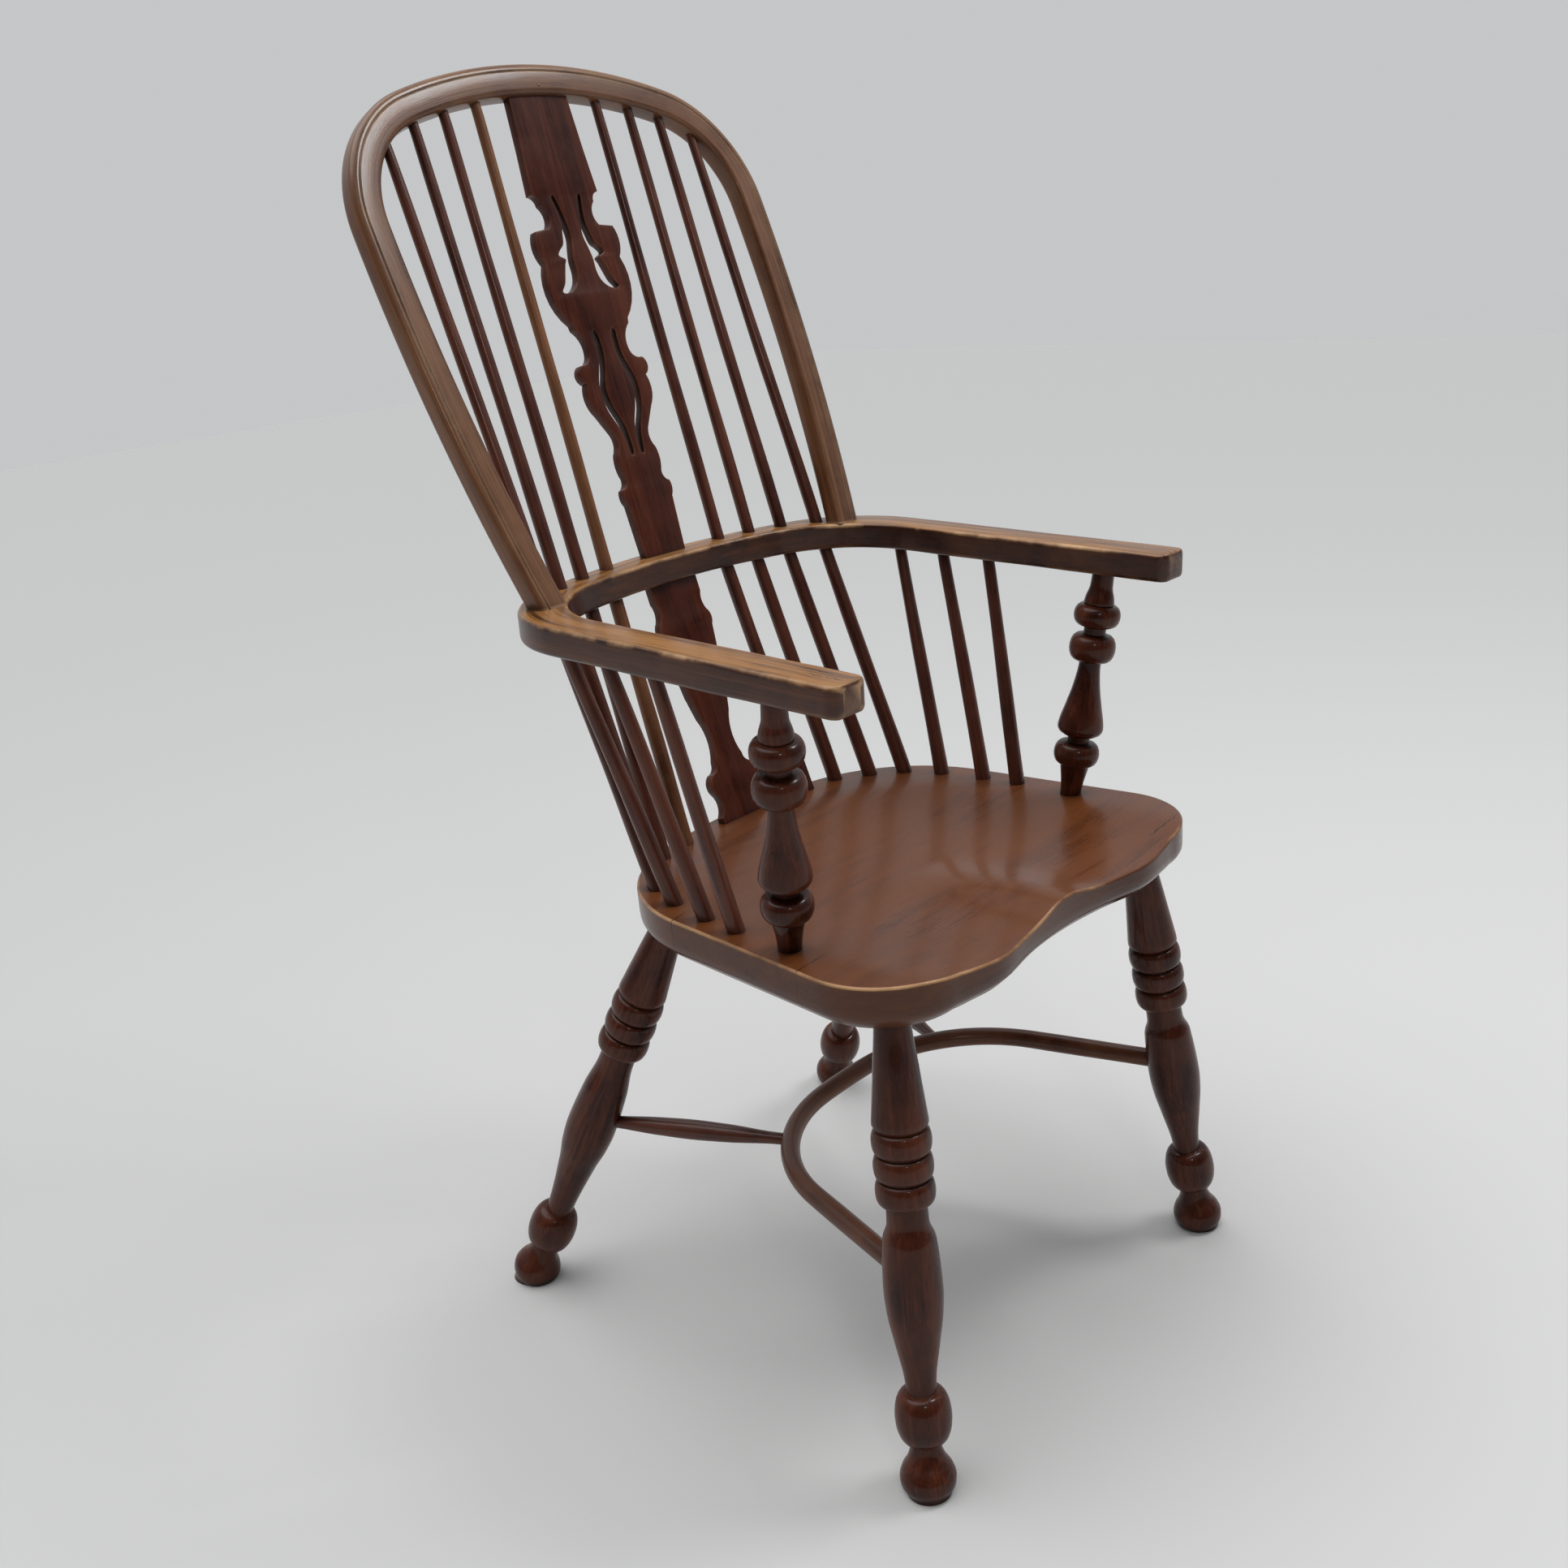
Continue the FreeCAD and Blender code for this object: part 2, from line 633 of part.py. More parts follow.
def make_arm_bow():
    outer = bow_half(arm_edge_bow(False), arm_end_y)
    inner = bow_half(arm_edge_bow(True), arm_end_y)
    end = line(tuple(inner[0].Vertexes[0].Point)[:2], tuple(outer[0].Vertexes[0].Point)[:2])
    rail = slab(both_halves(outer + inner + [end]), arm_thickness)
    rail = ease_edges(rail, arm_end_chamfer, lambda edge: edge.BoundBox.YMax < arm_end_y + 0.01
                      and edge.BoundBox.ZLength > 0.5 * arm_thickness)
    rail = ease_edges(rail, arm_edge_round, lambda edge: edge.BoundBox.ZLength < 0.01)
    rail = placed(rail, arm_frame(arm_thickness))
    cutters = [splat_mortise(upper_splat_ends(), upper_splat_foot_half, splat_arm_tongue, False),
               splat_mortise(lower_splat_ends(), lower_splat_head_half, splat_arm_tongue, True)]
    for side in (-1, 1):
        for index in range(len(long_stick_feet)):
            cutters.append(knee_hole(index, side))
        for index in range(len(short_stick_feet)):
            foot, head = short_stick_line(index, side)
            cutters.append(socket(head, foot, short_stick_head_radius, stick_head_tenon + end_gap))
        foot, head = post_line(side)
        cutters.append(socket(head, foot, post_tenon_radius, post_head_tenon + end_gap))
        mouth, end = hoop_tenon_line(side)
        cutters.append(socket(mouth, mouth + mouth - end, hoop_tenon_radius, hoop_tenon_length + end_gap))
    return rail.cut(cutters)


# Back hoop
def across(inner, outer, end):
    """Line from an inner arc to an outer one at their first or last ends."""
    return line(tuple(inner.Vertexes[end].Point)[:2], tuple(outer.Vertexes[end].Point)[:2])


def hoop_foot(side):
    """Square-edged end of the hoop with a round tenon, cut to lie on the arm bow."""
    inner = hoop_side(hoop_width, -2.0 * hoop_thickness, hoop_square_foot)
    outer = hoop_side(0.0, -2.0 * hoop_thickness, hoop_square_foot)
    foot = slab([inner, outer, across(inner, outer, 0), across(inner, outer, -1)], -hoop_thickness)
    if side < 0:
        foot = foot.mirror(vec(0, 0), vec(1, 0))
    top_face = arm_frame()
    foot = keep_side(placed(foot, hoop_frame()), top_face.Base, top_face.Rotation.multVec(vec(0, 0, 1)))
    mouth, end = hoop_tenon_line(side)
    return foot.fuse(rod(toward(mouth, end, -hoop_tenon_radius), end, hoop_tenon_radius))


def make_back_hoop():
    outer = hoop_half(0.0)
    inner = hoop_half(hoop_width)
    foot = across(inner[0], outer[0], 0)
    hoop = slab(both_halves(outer + inner + [foot]), -hoop_thickness)
    lowest = foot.BoundBox.YMax + 0.01
    hoop = ease_edges(hoop, hoop_edge_round, lambda edge: edge.BoundBox.ZLength < 0.01
                      and edge.BoundBox.YMax > lowest)
    hoop = placed(hoop, hoop_frame()).fuse([hoop_foot(-1), hoop_foot(1)]).removeSplitter()
    cutters = [splat_mortise(upper_splat_ends(), upper_splat_head_half, splat_hoop_tongue, True),
               splat_pin(glue_gap)]
    for side in (-1, 1):
        for index in range(len(long_stick_feet)):
            foot, knee, head = long_stick_line(index, side)
            cutters.append(socket(head, knee, long_stick_head_radius, stick_head_tenon + end_gap))
    return hoop.cut(cutters)


# Sticks and turnings
def make_long_stick(index, side):
    """Tapered stick that runs through the arm bow, bent inside it."""
    foot, knee, head = long_stick_line(index, side)
    low = toward(foot, knee, -stick_foot_tenon)
    high = toward(head, knee, -stick_head_tenon)
    return bent_bar(low, knee, high, [long_stick_foot_radius, long_stick_knee_radius, long_stick_head_radius])


def make_short_stick(index, side):
    foot, head = short_stick_line(index, side)
    length = (head - foot).Length
    taper = [(-stick_foot_tenon, short_stick_foot_radius), (length + stick_head_tenon, short_stick_head_radius)]
    return turned(foot, head, taper, shaved_sides)


def make_arm_post(side):
    """Collar, bead, baluster and two beads, between a tenon at each end."""
    foot, head = post_line(side)
    length = (head - foot).Length
    neck = post_neck_radius
    bead = post_bead_radius
    edge = 0.62 * bead
    profile = [(-post_end_radius, post_end_radius), (0.0, post_end_radius), (0.13 * length, post_collar_radius)]
    profile += swell(0.135 * length, 0.238 * length, edge, bead)
    profile += [(0.244 * length, neck), (0.268 * length, neck)]
    profile += [(0.278 * length, 0.8 * bead), (0.305 * length, bead), (0.34 * length, 0.96 * bead)]
    profile += [(0.46 * length, 0.68 * bead), (0.585 * length, neck), (0.60 * length, neck)]
    profile += swell(0.607 * length, 0.722 * length, edge, bead)
    profile += [(0.728 * length, neck), (0.75 * length, neck)]
    profile += swell(0.762 * length, 0.853 * length, edge, bead)
    profile += [(0.885 * length, 0.62 * bead), (0.93 * length, post_end_radius),
                (length + post_end_radius, post_end_radius)]
    post = turned(foot, head, profile)
    post = keep_side(post, foot, vec(0, 0, 1))
    underside = arm_frame(arm_thickness)
    post = keep_side(post, underside.Base, underside.Rotation.multVec(vec(0, 0, -1)))
    tenon = rod(toward(foot, head, -post_foot_tenon), toward(head, foot, -post_head_tenon), post_tenon_radius)
    return post.fuse(tenon)


def make_leg(leg, side):
    """Pad foot, ball, long belly and a run of rings under a tapered top."""
    foot, top = leg_line(leg, side)
    length = (top - foot).Length
    ball_half = leg_ball_height - leg_ankle_height - 2.0
    waist = length - leg_waist_below_seat
    belly = leg_belly_place * (leg_neck_height + waist)
    profile = [
        (-leg_pad_radius / 2.0, 0.8 * leg_pad_radius), (0.0, 0.8 * leg_pad_radius),
        (0.55 * leg_pad_top, leg_pad_radius), (leg_pad_top, leg_pad_radius),
        (leg_ankle_height - 6.0, leg_ankle_radius + 1.0), (leg_ankle_height, leg_ankle_radius),
    ]
    profile += swell(leg_ball_height - ball_half, leg_ball_height + ball_half, leg_ankle_radius,
                     leg_ball_radius, 6)
    profile += [(leg_neck_height + 3.0, leg_ankle_radius)]
    profile += swell(belly - 58.0, belly + 58.0, leg_belly_radius - 5.0, leg_belly_radius)
    profile += [(waist, leg_waist_radius)]
    for ring in range(leg_ring_count):
        low = waist + 2.0 + ring * leg_ring_pitch
        steps = swell(low, low + leg_ring_pitch, leg_groove_radius, leg_ring_radius)
        profile += steps[:-1]
    ring_top = waist + 2.0 + leg_ring_count * leg_ring_pitch
    profile += [(ring_top, leg_groove_radius), (ring_top + 3.0, leg_ring_radius - 1.0),
                (length, leg_top_radius), (length + leg_top_radius, leg_top_radius)]
    body = turned(foot, top, profile)
    body = keep_side(body, foot, vec(0, 0, 1))
    body = keep_side(body, top, vec(0, 0, -1))
    body = body.fuse(rod(toward(top, foot, leg_top_radius), toward(top, foot, -leg_tenon_length), leg_tenon_radius))
    if leg is front_leg:
        bow = bow_half(crinoline_bow(), crinoline_front_y())[0]
        end = bow.Vertexes[0].Point
        outer = bow.Vertexes[1].Point
        end = vec(side * end.x, end.y, stretcher_height)
        outer = vec(side * outer.x, outer.y, stretcher_height)
        radius = crinoline_radius
    else:
        outer, end = spur_line(side)
        radius = spur_end_radius
    return body.cut(hole(end, toward(end, outer, 3.0 * leg_belly_radius), radius))


# Stretchers
def make_crinoline():
    """Round bow with its ends in the front legs and a socket for each spur."""
    stations = []
    for edge in bow_half(crinoline_bow(), crinoline_front_y()):
        first = edge.FirstParameter
        last = edge.LastParameter
        turn = math.degrees(edge.tangentAt(first).getAngle(edge.tangentAt(last)))
        steps = 1 + int(turn / crinoline_step_deg)
        places = [first + (last - first) * step / steps for step in range(steps)]
        stations += [(edge.valueAt(place), edge.tangentAt(place)) for place in places]
    mirrored = [(vec(-centre.x, centre.y), vec(along.x, -along.y)) for centre, along in reversed(stations)]
    stations += [(vec(0, crinoline_back_y), vec(-1, 0))] + mirrored
    rise = vec(0, 0, stretcher_height)
    outlines = [outline_about(centre + rise, along, crinoline_radius, shaved_sides, vec(0, 0, 1))
                for centre, along in stations]
    bow = Part.makeLoft(outlines, True, True)
    cutters = []
    for side in (-1, 1):
        start, end = spur_line(side)
        cutters.append(hole(start, toward(start, end, 4.0 * spur_end_radius), spur_end_radius))
    return bow.cut(cutters)


def make_spur(side):
    start, end = spur_line(side)
    length = (end - start).Length
    profile = [(0.0, spur_end_radius), (spur_bow_tenon + 4.0, spur_end_radius),
               (0.4 * length, spur_belly_radius), (0.6 * length, spur_belly_radius),
               (length - spur_leg_tenon - 4.0, spur_end_radius), (length, spur_end_radius)]
    return turned(start, end, profile, shaved_sides)


# The whole chair
def make_chair():
    pieces = {
        "seat": make_seat(), "arm_bow": make_arm_bow(), "back_hoop": make_back_hoop(),
        "upper_splat": make_upper_splat(), "lower_splat": make_lower_splat(),
        "splat_pin": splat_pin(), "crinoline_stretcher": make_crinoline(),
    }
    for side, name in ((-1, "right"), (1, "left")):
        pieces["front_" + name + "_leg"] = make_leg(front_leg, side)
        pieces["back_" + name + "_leg"] = make_leg(back_leg, side)
        pieces[name + "_arm_post"] = make_arm_post(side)
        pieces[name + "_spur"] = make_spur(side)
        for index in range(len(long_stick_feet)):
            pieces[name + "_long_stick_" + str(index + 1)] = make_long_stick(index, side)
        for index in range(len(short_stick_feet)):
            pieces[name + "_short_stick_" + str(index + 1)] = make_short_stick(index, side)
    return pieces


def move_to_middle(pieces):
    """Put the origin under the middle of the chair, front to back."""
    boxes = [piece.optimalBoundingBox(False, False) for piece in pieces.values()]
    middle = (min(box.YMin for box in boxes) + max(box.YMax for box in boxes)) / 2.0
    for piece in pieces.values():
        piece.translate(vec(0, -middle, 0))
    print("origin moved back by", round(middle, 3))


chair = make_chair()
move_to_middle(chair)
os.makedirs("parts", exist_ok=True)
for name, piece in chair.items():
    piece.exportStep("parts/" + name + ".step")
    print(name, len(piece.Solids), piece.isValid(), round(piece.Volume / 1000.0, 1), "cm3")
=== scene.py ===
# %% [markdown]
# # A Windsor armchair, dressed over its frame
# The imported model comes in first and stays as it is. A finer piece then takes the place of
# every one of its nodes: round where the frame has flats, with eased edges, and finished as
# old waxed wood. The size of the frame is kept.

# %% Load the frame
import math

import bmesh
import bpy
from mathutils import Matrix, Vector


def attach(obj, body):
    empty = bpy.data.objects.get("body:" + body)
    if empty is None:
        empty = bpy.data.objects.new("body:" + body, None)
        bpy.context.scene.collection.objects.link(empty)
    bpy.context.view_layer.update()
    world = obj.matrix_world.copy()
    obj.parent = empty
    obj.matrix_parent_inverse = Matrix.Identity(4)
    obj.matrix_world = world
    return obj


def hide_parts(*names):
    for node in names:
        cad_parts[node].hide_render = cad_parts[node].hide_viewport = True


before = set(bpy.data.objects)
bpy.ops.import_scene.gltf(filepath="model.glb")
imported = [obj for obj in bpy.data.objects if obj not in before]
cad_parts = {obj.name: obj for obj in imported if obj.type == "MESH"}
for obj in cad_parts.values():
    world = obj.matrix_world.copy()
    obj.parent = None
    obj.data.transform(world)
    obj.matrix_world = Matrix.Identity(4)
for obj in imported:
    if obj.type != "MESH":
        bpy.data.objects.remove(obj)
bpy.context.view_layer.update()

print("nodes in the frame:", len(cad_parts))

# %% [markdown]
# ## Camera
# The photograph was taken from the sitter's right, a little above the arms. The camera is
# given as a place, a turn about the vertical, a downward tilt and a small roll.

# %% Camera
camera_place = Vector((-1.00862, -0.93456, 0.98138))
camera_turn_deg = -46.014
camera_tilt_deg = 19.401
camera_roll_deg = -5.178
camera_lens_mm = 36.330

camera = bpy.data.objects.new("camera", bpy.data.cameras.new("camera"))
bpy.context.collection.objects.link(camera)
aim = (Matrix.Rotation(math.radians(camera_turn_deg), 4, "Z")
       @ Matrix.Rotation(math.radians(90.0 - camera_tilt_deg), 4, "X")
       @ Matrix.Rotation(math.radians(camera_roll_deg), 4, "Z"))
camera.matrix_world = Matrix.Translation(camera_place) @ aim
camera.data.sensor_width = 36.0
camera.data.lens = camera_lens_mm
bpy.context.scene.camera = camera
bpy.context.scene.view_settings.view_transform = "Standard"
print("camera:", round(camera_place.length, 2), "m from the frame's origin, lens", camera_lens_mm, "mm")

# %% [markdown]
# ## Floor
# The chair stands on a pale floor, wide enough to fill the picture below it. The floor is a
# lit surface with a plain colour, so it takes the chair's shadow.


# %% Floor
def linear(red, green, blue):
    """Colour written as on a screen, from 0 to 255, as the linear values that a shader takes."""
    return tuple((level / 255.0) ** 2.2 for level in (red, green, blue)) + (1.0,)


def new_material(name):
    material = bpy.data.materials.new(name)
    material.use_nodes = True
    return material


floor_half = 9.0
floor_mesh = bpy.data.meshes.new("floor")
corners = [(x * floor_half, y * floor_half, 0.0) for x, y in ((-1, -1), (1, -1), (1, 1), (-1, 1))]
floor_mesh.from_pydata(corners, [], [(0, 1, 2, 3)])
floor = bpy.data.objects.new("floor", floor_mesh)
bpy.context.collection.objects.link(floor)

floor_paint = new_material("pale_floor")
floor_shader = floor_paint.node_tree.nodes["Principled BSDF"]
floor_shader.inputs["Base Color"].default_value = linear(207, 207, 206)
floor_shader.inputs["Roughness"].default_value = 0.8
floor_shader.inputs["Specular IOR Level"].default_value = 0.1
floor.data.materials.append(floor_paint)
print("floor:", 2.0 * floor_half, "m wide")

# %% [markdown]
# ## Surround
# A camera ray sees the surround as one flat grey, so no lamp has to brighten it. The wood
# sees it as soft light, which is strong on the far side of the chair and weak on the
# camera's. That draws pale edges along the turnings and leaves their near faces dark.

# %% Surround
surround_light = linear(238, 240, 243)
surround_seen = linear(196, 197, 198)
bright_side = (0.62, 0.62, 0.48)
weakest_light = 0.05
strongest_light = 0.62

world = bpy.data.worlds.new("surround")
bpy.context.scene.world = world
world.use_nodes = True
nodes, links = world.node_tree.nodes, world.node_tree.links
fill = nodes["Background"]
fill.inputs["Color"].default_value = surround_light
direction = nodes.new("ShaderNodeTexCoord")
behind = nodes.new("ShaderNodeVectorMath")
behind.operation = "DOT_PRODUCT"
behind.inputs[1].default_value = bright_side
links.new(direction.outputs["Generated"], behind.inputs[0])
level = nodes.new("ShaderNodeMapRange")
level.inputs["From Min"].default_value = -0.5
level.inputs["From Max"].default_value = 0.6
level.inputs["To Min"].default_value = weakest_light
level.inputs["To Max"].default_value = strongest_light
links.new(behind.outputs["Value"], level.inputs["Value"])
links.new(level.outputs["Result"], fill.inputs["Strength"])
seen = nodes.new("ShaderNodeBackground")
seen.inputs["Color"].default_value = surround_seen
path = nodes.new("ShaderNodeLightPath")
pick = nodes.new("ShaderNodeMixShader")
links.new(path.outputs["Is Camera Ray"], pick.inputs["Fac"])
links.new(fill.outputs["Background"], pick.inputs[1])
links.new(seen.outputs["Background"], pick.inputs[2])
links.new(pick.outputs["Shader"], nodes["World Output"].inputs["Surface"])
print("surround: strength", weakest_light, "on the camera's side,", strongest_light, "on the far side")

# %% [markdown]
# ## Lamps
# A wide sun stands in for a bright ceiling and gives the soft shadow under the seat. A
# panel above the sitter's left lights the tops of arm and seat, and a small lamp behind the
# camera puts the bright spots on the turnings.


# %% Lamps
def facing(place, target):
    """Turn that points a lamp at a place towards its target."""
    return (Vector(target) - Vector(place)).to_track_quat("-Z", "Y").to_euler()


def soft_lamp(name, place, target, size, watts):
    """Square area lamp at a place, facing a target."""
    lamp = bpy.data.objects.new(name, bpy.data.lights.new(name, "AREA"))
    lamp.data.size = size
    lamp.data.energy = watts
    lamp.location = place
    lamp.rotation_euler = facing(place, target)
    bpy.context.collection.objects.link(lamp)


sun_spread_deg = 60.0
sun_strength = 1.7
overhead = (-0.3, 0.5, 2.0)
ceiling = bpy.data.objects.new("ceiling_light", bpy.data.lights.new("ceiling_light", "SUN"))
ceiling.data.angle = math.radians(sun_spread_deg)
ceiling.data.energy = sun_strength
ceiling.rotation_euler = facing(overhead, (0.0, 0.0, 0.0))
bpy.context.collection.objects.link(ceiling)
chair_middle = (0.0, 0.0, 0.6)
soft_lamp("ceiling_panel", (1.0, -0.8, 2.5), chair_middle, 0.6, 17.0)
soft_lamp("front_lamp", (-1.6, -2.2, 2.3), chair_middle, 0.35, 6.0)

# %% [markdown]
# ## Shared effects
# Four effects go over the wood's own colour: the figure of the grain, edges rubbed pale
# by hands, painted shade that darkens grooves and joints, and a few drying cracks. Each is
# a node group, so that every finish can place it with its own values.


# %% Building blocks for node groups
def new_group(name, inputs, outputs):
    """Node group with named sockets: its tree, the sockets that come in and those that go out."""
    tree = bpy.data.node_groups.new(name, "ShaderNodeTree")
    for socket, kind, value in inputs:
        made = tree.interface.new_socket(socket, in_out="INPUT", socket_type=kind)
        if value is not None:
            made.default_value = value
    for socket, kind in outputs:
        tree.interface.new_socket(socket, in_out="OUTPUT", socket_type=kind)
    return tree, tree.nodes.new("NodeGroupInput").outputs, tree.nodes.new("NodeGroupOutput").inputs


def add_node(tree, kind, settings=(), **values):
    """New node. Sockets go by name, or as i and a number; a value that is a socket is linked."""
    node = tree.nodes.new("ShaderNode" + kind)
    for setting, value in dict(settings).items():
        setattr(node, setting, value)
    for socket, value in values.items():
        numbered = socket[1:].isdigit()
        target = node.inputs[int(socket[1:]) if numbered else socket.replace("_", " ")]
        if isinstance(value, bpy.types.NodeSocket):
            tree.links.new(value, target)
        else:
            target.default_value = value
    return node


def scaled(tree, value, low, high, new_low=0.0, new_high=1.0):
    """Value carried from one range into another and clamped."""
    node = add_node(tree, "MapRange", Value=value, From_Min=low, From_Max=high,
                    To_Min=new_low, To_Max=new_high)
    return node.outputs["Result"]


def combined(tree, operation, first, second):
    """Two values worked into one and clamped between 0 and 1."""
    node = add_node(tree, "Math", {"operation": operation, "use_clamp": True}, i0=first, i1=second)
    return node.outputs["Value"]


def worked(tree, operation, first, second=0.0):
    """One or two values worked into another, without a limit."""
    return add_node(tree, "Math", {"operation": operation}, i0=first, i1=second).outputs["Value"]


print("node groups so far:", len(bpy.data.node_groups))

# %% [markdown]
# ### Grain
# The growth rings of the real wood show as broad bands, with fine streaks and short dark
# pores among them, all drawn out along the piece. Noise that is stretched along one axis
# gives all three, at a low, a higher and a very high scale. The figure less the pores also
# serves as the height of the surface.


# %% Grain
def make_grain():
    """Figure along the piece: broad rings, fine streaks and short dark pores."""
    tree, source, result = new_group(
        "wood_grain",
        [("Place", "NodeSocketVector", None), ("Ring Spacing", "NodeSocketFloat", 90.0),
         ("Streak Spacing", "NodeSocketFloat", 420.0), ("Stretch", "NodeSocketFloat", 0.06)],
        [("Figure", "NodeSocketFloat"), ("Pores", "NodeSocketFloat"), ("Height", "NodeSocketFloat")])
    along = add_node(tree, "CombineXYZ", X=1.0, Y=1.0, Z=source["Stretch"]).outputs["Vector"]
    drawn = add_node(tree, "VectorMath", {"operation": "MULTIPLY"}, i0=source["Place"],
                     i1=along).outputs["Vector"]
    rings = add_node(tree, "TexNoise", Vector=drawn, Scale=source["Ring Spacing"], Detail=3.0,
                     Roughness=0.55, Distortion=0.7).outputs["Fac"]
    streaks = add_node(tree, "TexNoise", Vector=drawn, Scale=source["Streak Spacing"], Detail=4.0,
                       Roughness=0.65).outputs["Fac"]
    fine = add_node(tree, "TexNoise", Vector=drawn, Scale=1500.0, Detail=2.0, Roughness=0.5).outputs["Fac"]
    rings = scaled(tree, rings, 0.34, 0.66)
    streaks = scaled(tree, streaks, 0.3, 0.7)
    figure = add_node(tree, "Mix", Factor=0.45, A=rings, B=streaks).outputs["Result"]
    pores = scaled(tree, fine, 0.60, 0.72)
    height = combined(tree, "SUBTRACT", figure, pores)
    tree.links.new(figure, result["Figure"])
    tree.links.new(pores, result["Pores"])
    tree.links.new(height, result["Height"])
    return tree


wood_grain = make_grain()
print("wood grain:", len(wood_grain.nodes), "nodes")

# %% [markdown]
# ### Worn edges and painted shade
# Hands rub the wax off an edge first, and never evenly. The Bevel node finds edges: near
# one, its rounded normal turns away from the flat one. Noise then breaks the edge into
# patches. Where little sky is seen, which Ambient Occlusion tells, the colour is darkened as painted shade.


# %% Worn edges and painted shade
def make_wear():
    """Edges that hands have worn, broken up by patches."""
    tree, source, result = new_group(
        "edge_wear", [("Width", "NodeSocketFloat", 0.004), ("Patch Size", "NodeSocketFloat", 18.0)],
        [("Wear", "NodeSocketFloat"), ("Patches", "NodeSocketFloat")])
    place = add_node(tree, "TexCoord").outputs["Object"]
    patches = add_node(tree, "TexNoise", Vector=place, Scale=source["Patch Size"], Detail=5.0,
                       Roughness=0.62).outputs["Fac"]
    patches = scaled(tree, patches, 0.35, 0.68)
    rounded = add_node(tree, "Bevel", {"samples": 6}, Radius=source["Width"]).outputs["Normal"]
    flat = add_node(tree, "NewGeometry").outputs["Normal"]
    likeness = add_node(tree, "VectorMath", {"operation": "DOT_PRODUCT"}, i0=rounded, i1=flat)
    edge = scaled(tree, likeness.outputs["Value"], 0.99, 0.86)
    wear = combined(tree, "MULTIPLY", edge, scaled(tree, patches, 0.0, 0.8, 0.25, 1.0))
    tree.links.new(wear, result["Wear"])
    tree.links.new(patches, result["Patches"])
    return tree


def make_recess_shade():
    """Painted shade: darker colour in grooves and where pieces meet, where little sky is seen."""
    tree, source, result = new_group("recess_shade", [("Reach", "NodeSocketFloat", 0.012)],
                                     [("Recess Shade", "NodeSocketFloat")])
    open_sky = add_node(tree, "AmbientOcclusion", {"samples": 6}, Distance=source["Reach"]).outputs["AO"]
    tree.links.new(scaled(tree, open_sky, 0.85, 0.35), result["Recess Shade"])
    return tree


edge_wear = make_wear()
recess_shade = make_recess_shade()
print("edge wear and grime:", len(edge_wear.nodes) + len(recess_shade.nodes), "nodes")

# %% [markdown]
# ### Drying cracks
# As wood dries it opens along the grain. A crack is drawn where the distance aside from a
# line is small: the line is given by its middle and half its length in the wood's own
# measures, and noise makes it waver. It darkens the colour and lowers the surface.


# %% Drying cracks
def make_crack():
    """Short drying crack along the grain, thin at both ends and a little ragged."""
    tree, source, result = new_group(
        "drying_crack",
        [("Place", "NodeSocketVector", None), ("Middle", "NodeSocketVector", None),
         ("Half Length", "NodeSocketFloat", 0.02), ("Width", "NodeSocketFloat", 0.0008)],
        [("Crack", "NodeSocketFloat")])
    ragged = add_node(tree, "TexNoise", Vector=source["Place"], Scale=160.0, Detail=3.0).outputs["Fac"]
    offset = add_node(tree, "VectorMath", {"operation": "SUBTRACT"}, i0=source["Place"],
                      i1=source["Middle"]).outputs["Vector"]
    parts = add_node(tree, "SeparateXYZ", Vector=offset)
    shift = add_node(tree, "MapRange", Value=ragged, To_Min=-0.003, To_Max=0.003).outputs["Result"]
    aside = worked(tree, "ABSOLUTE", worked(tree, "ADD", parts.outputs["X"], shift))
    along = worked(tree, "ABSOLUTE", parts.outputs["Z"])
    near_end = worked(tree, "DIVIDE", along, source["Half Length"])
    reach = worked(tree, "DIVIDE", aside, source["Width"])
    crack = combined(tree, "MULTIPLY", scaled(tree, reach, 1.0, 0.3), scaled(tree, near_end, 1.0, 0.6))
    tree.links.new(crack, result["Crack"])
    return tree


drying_crack = make_crack()
print("groups:", [group.name for group in bpy.data.node_groups])
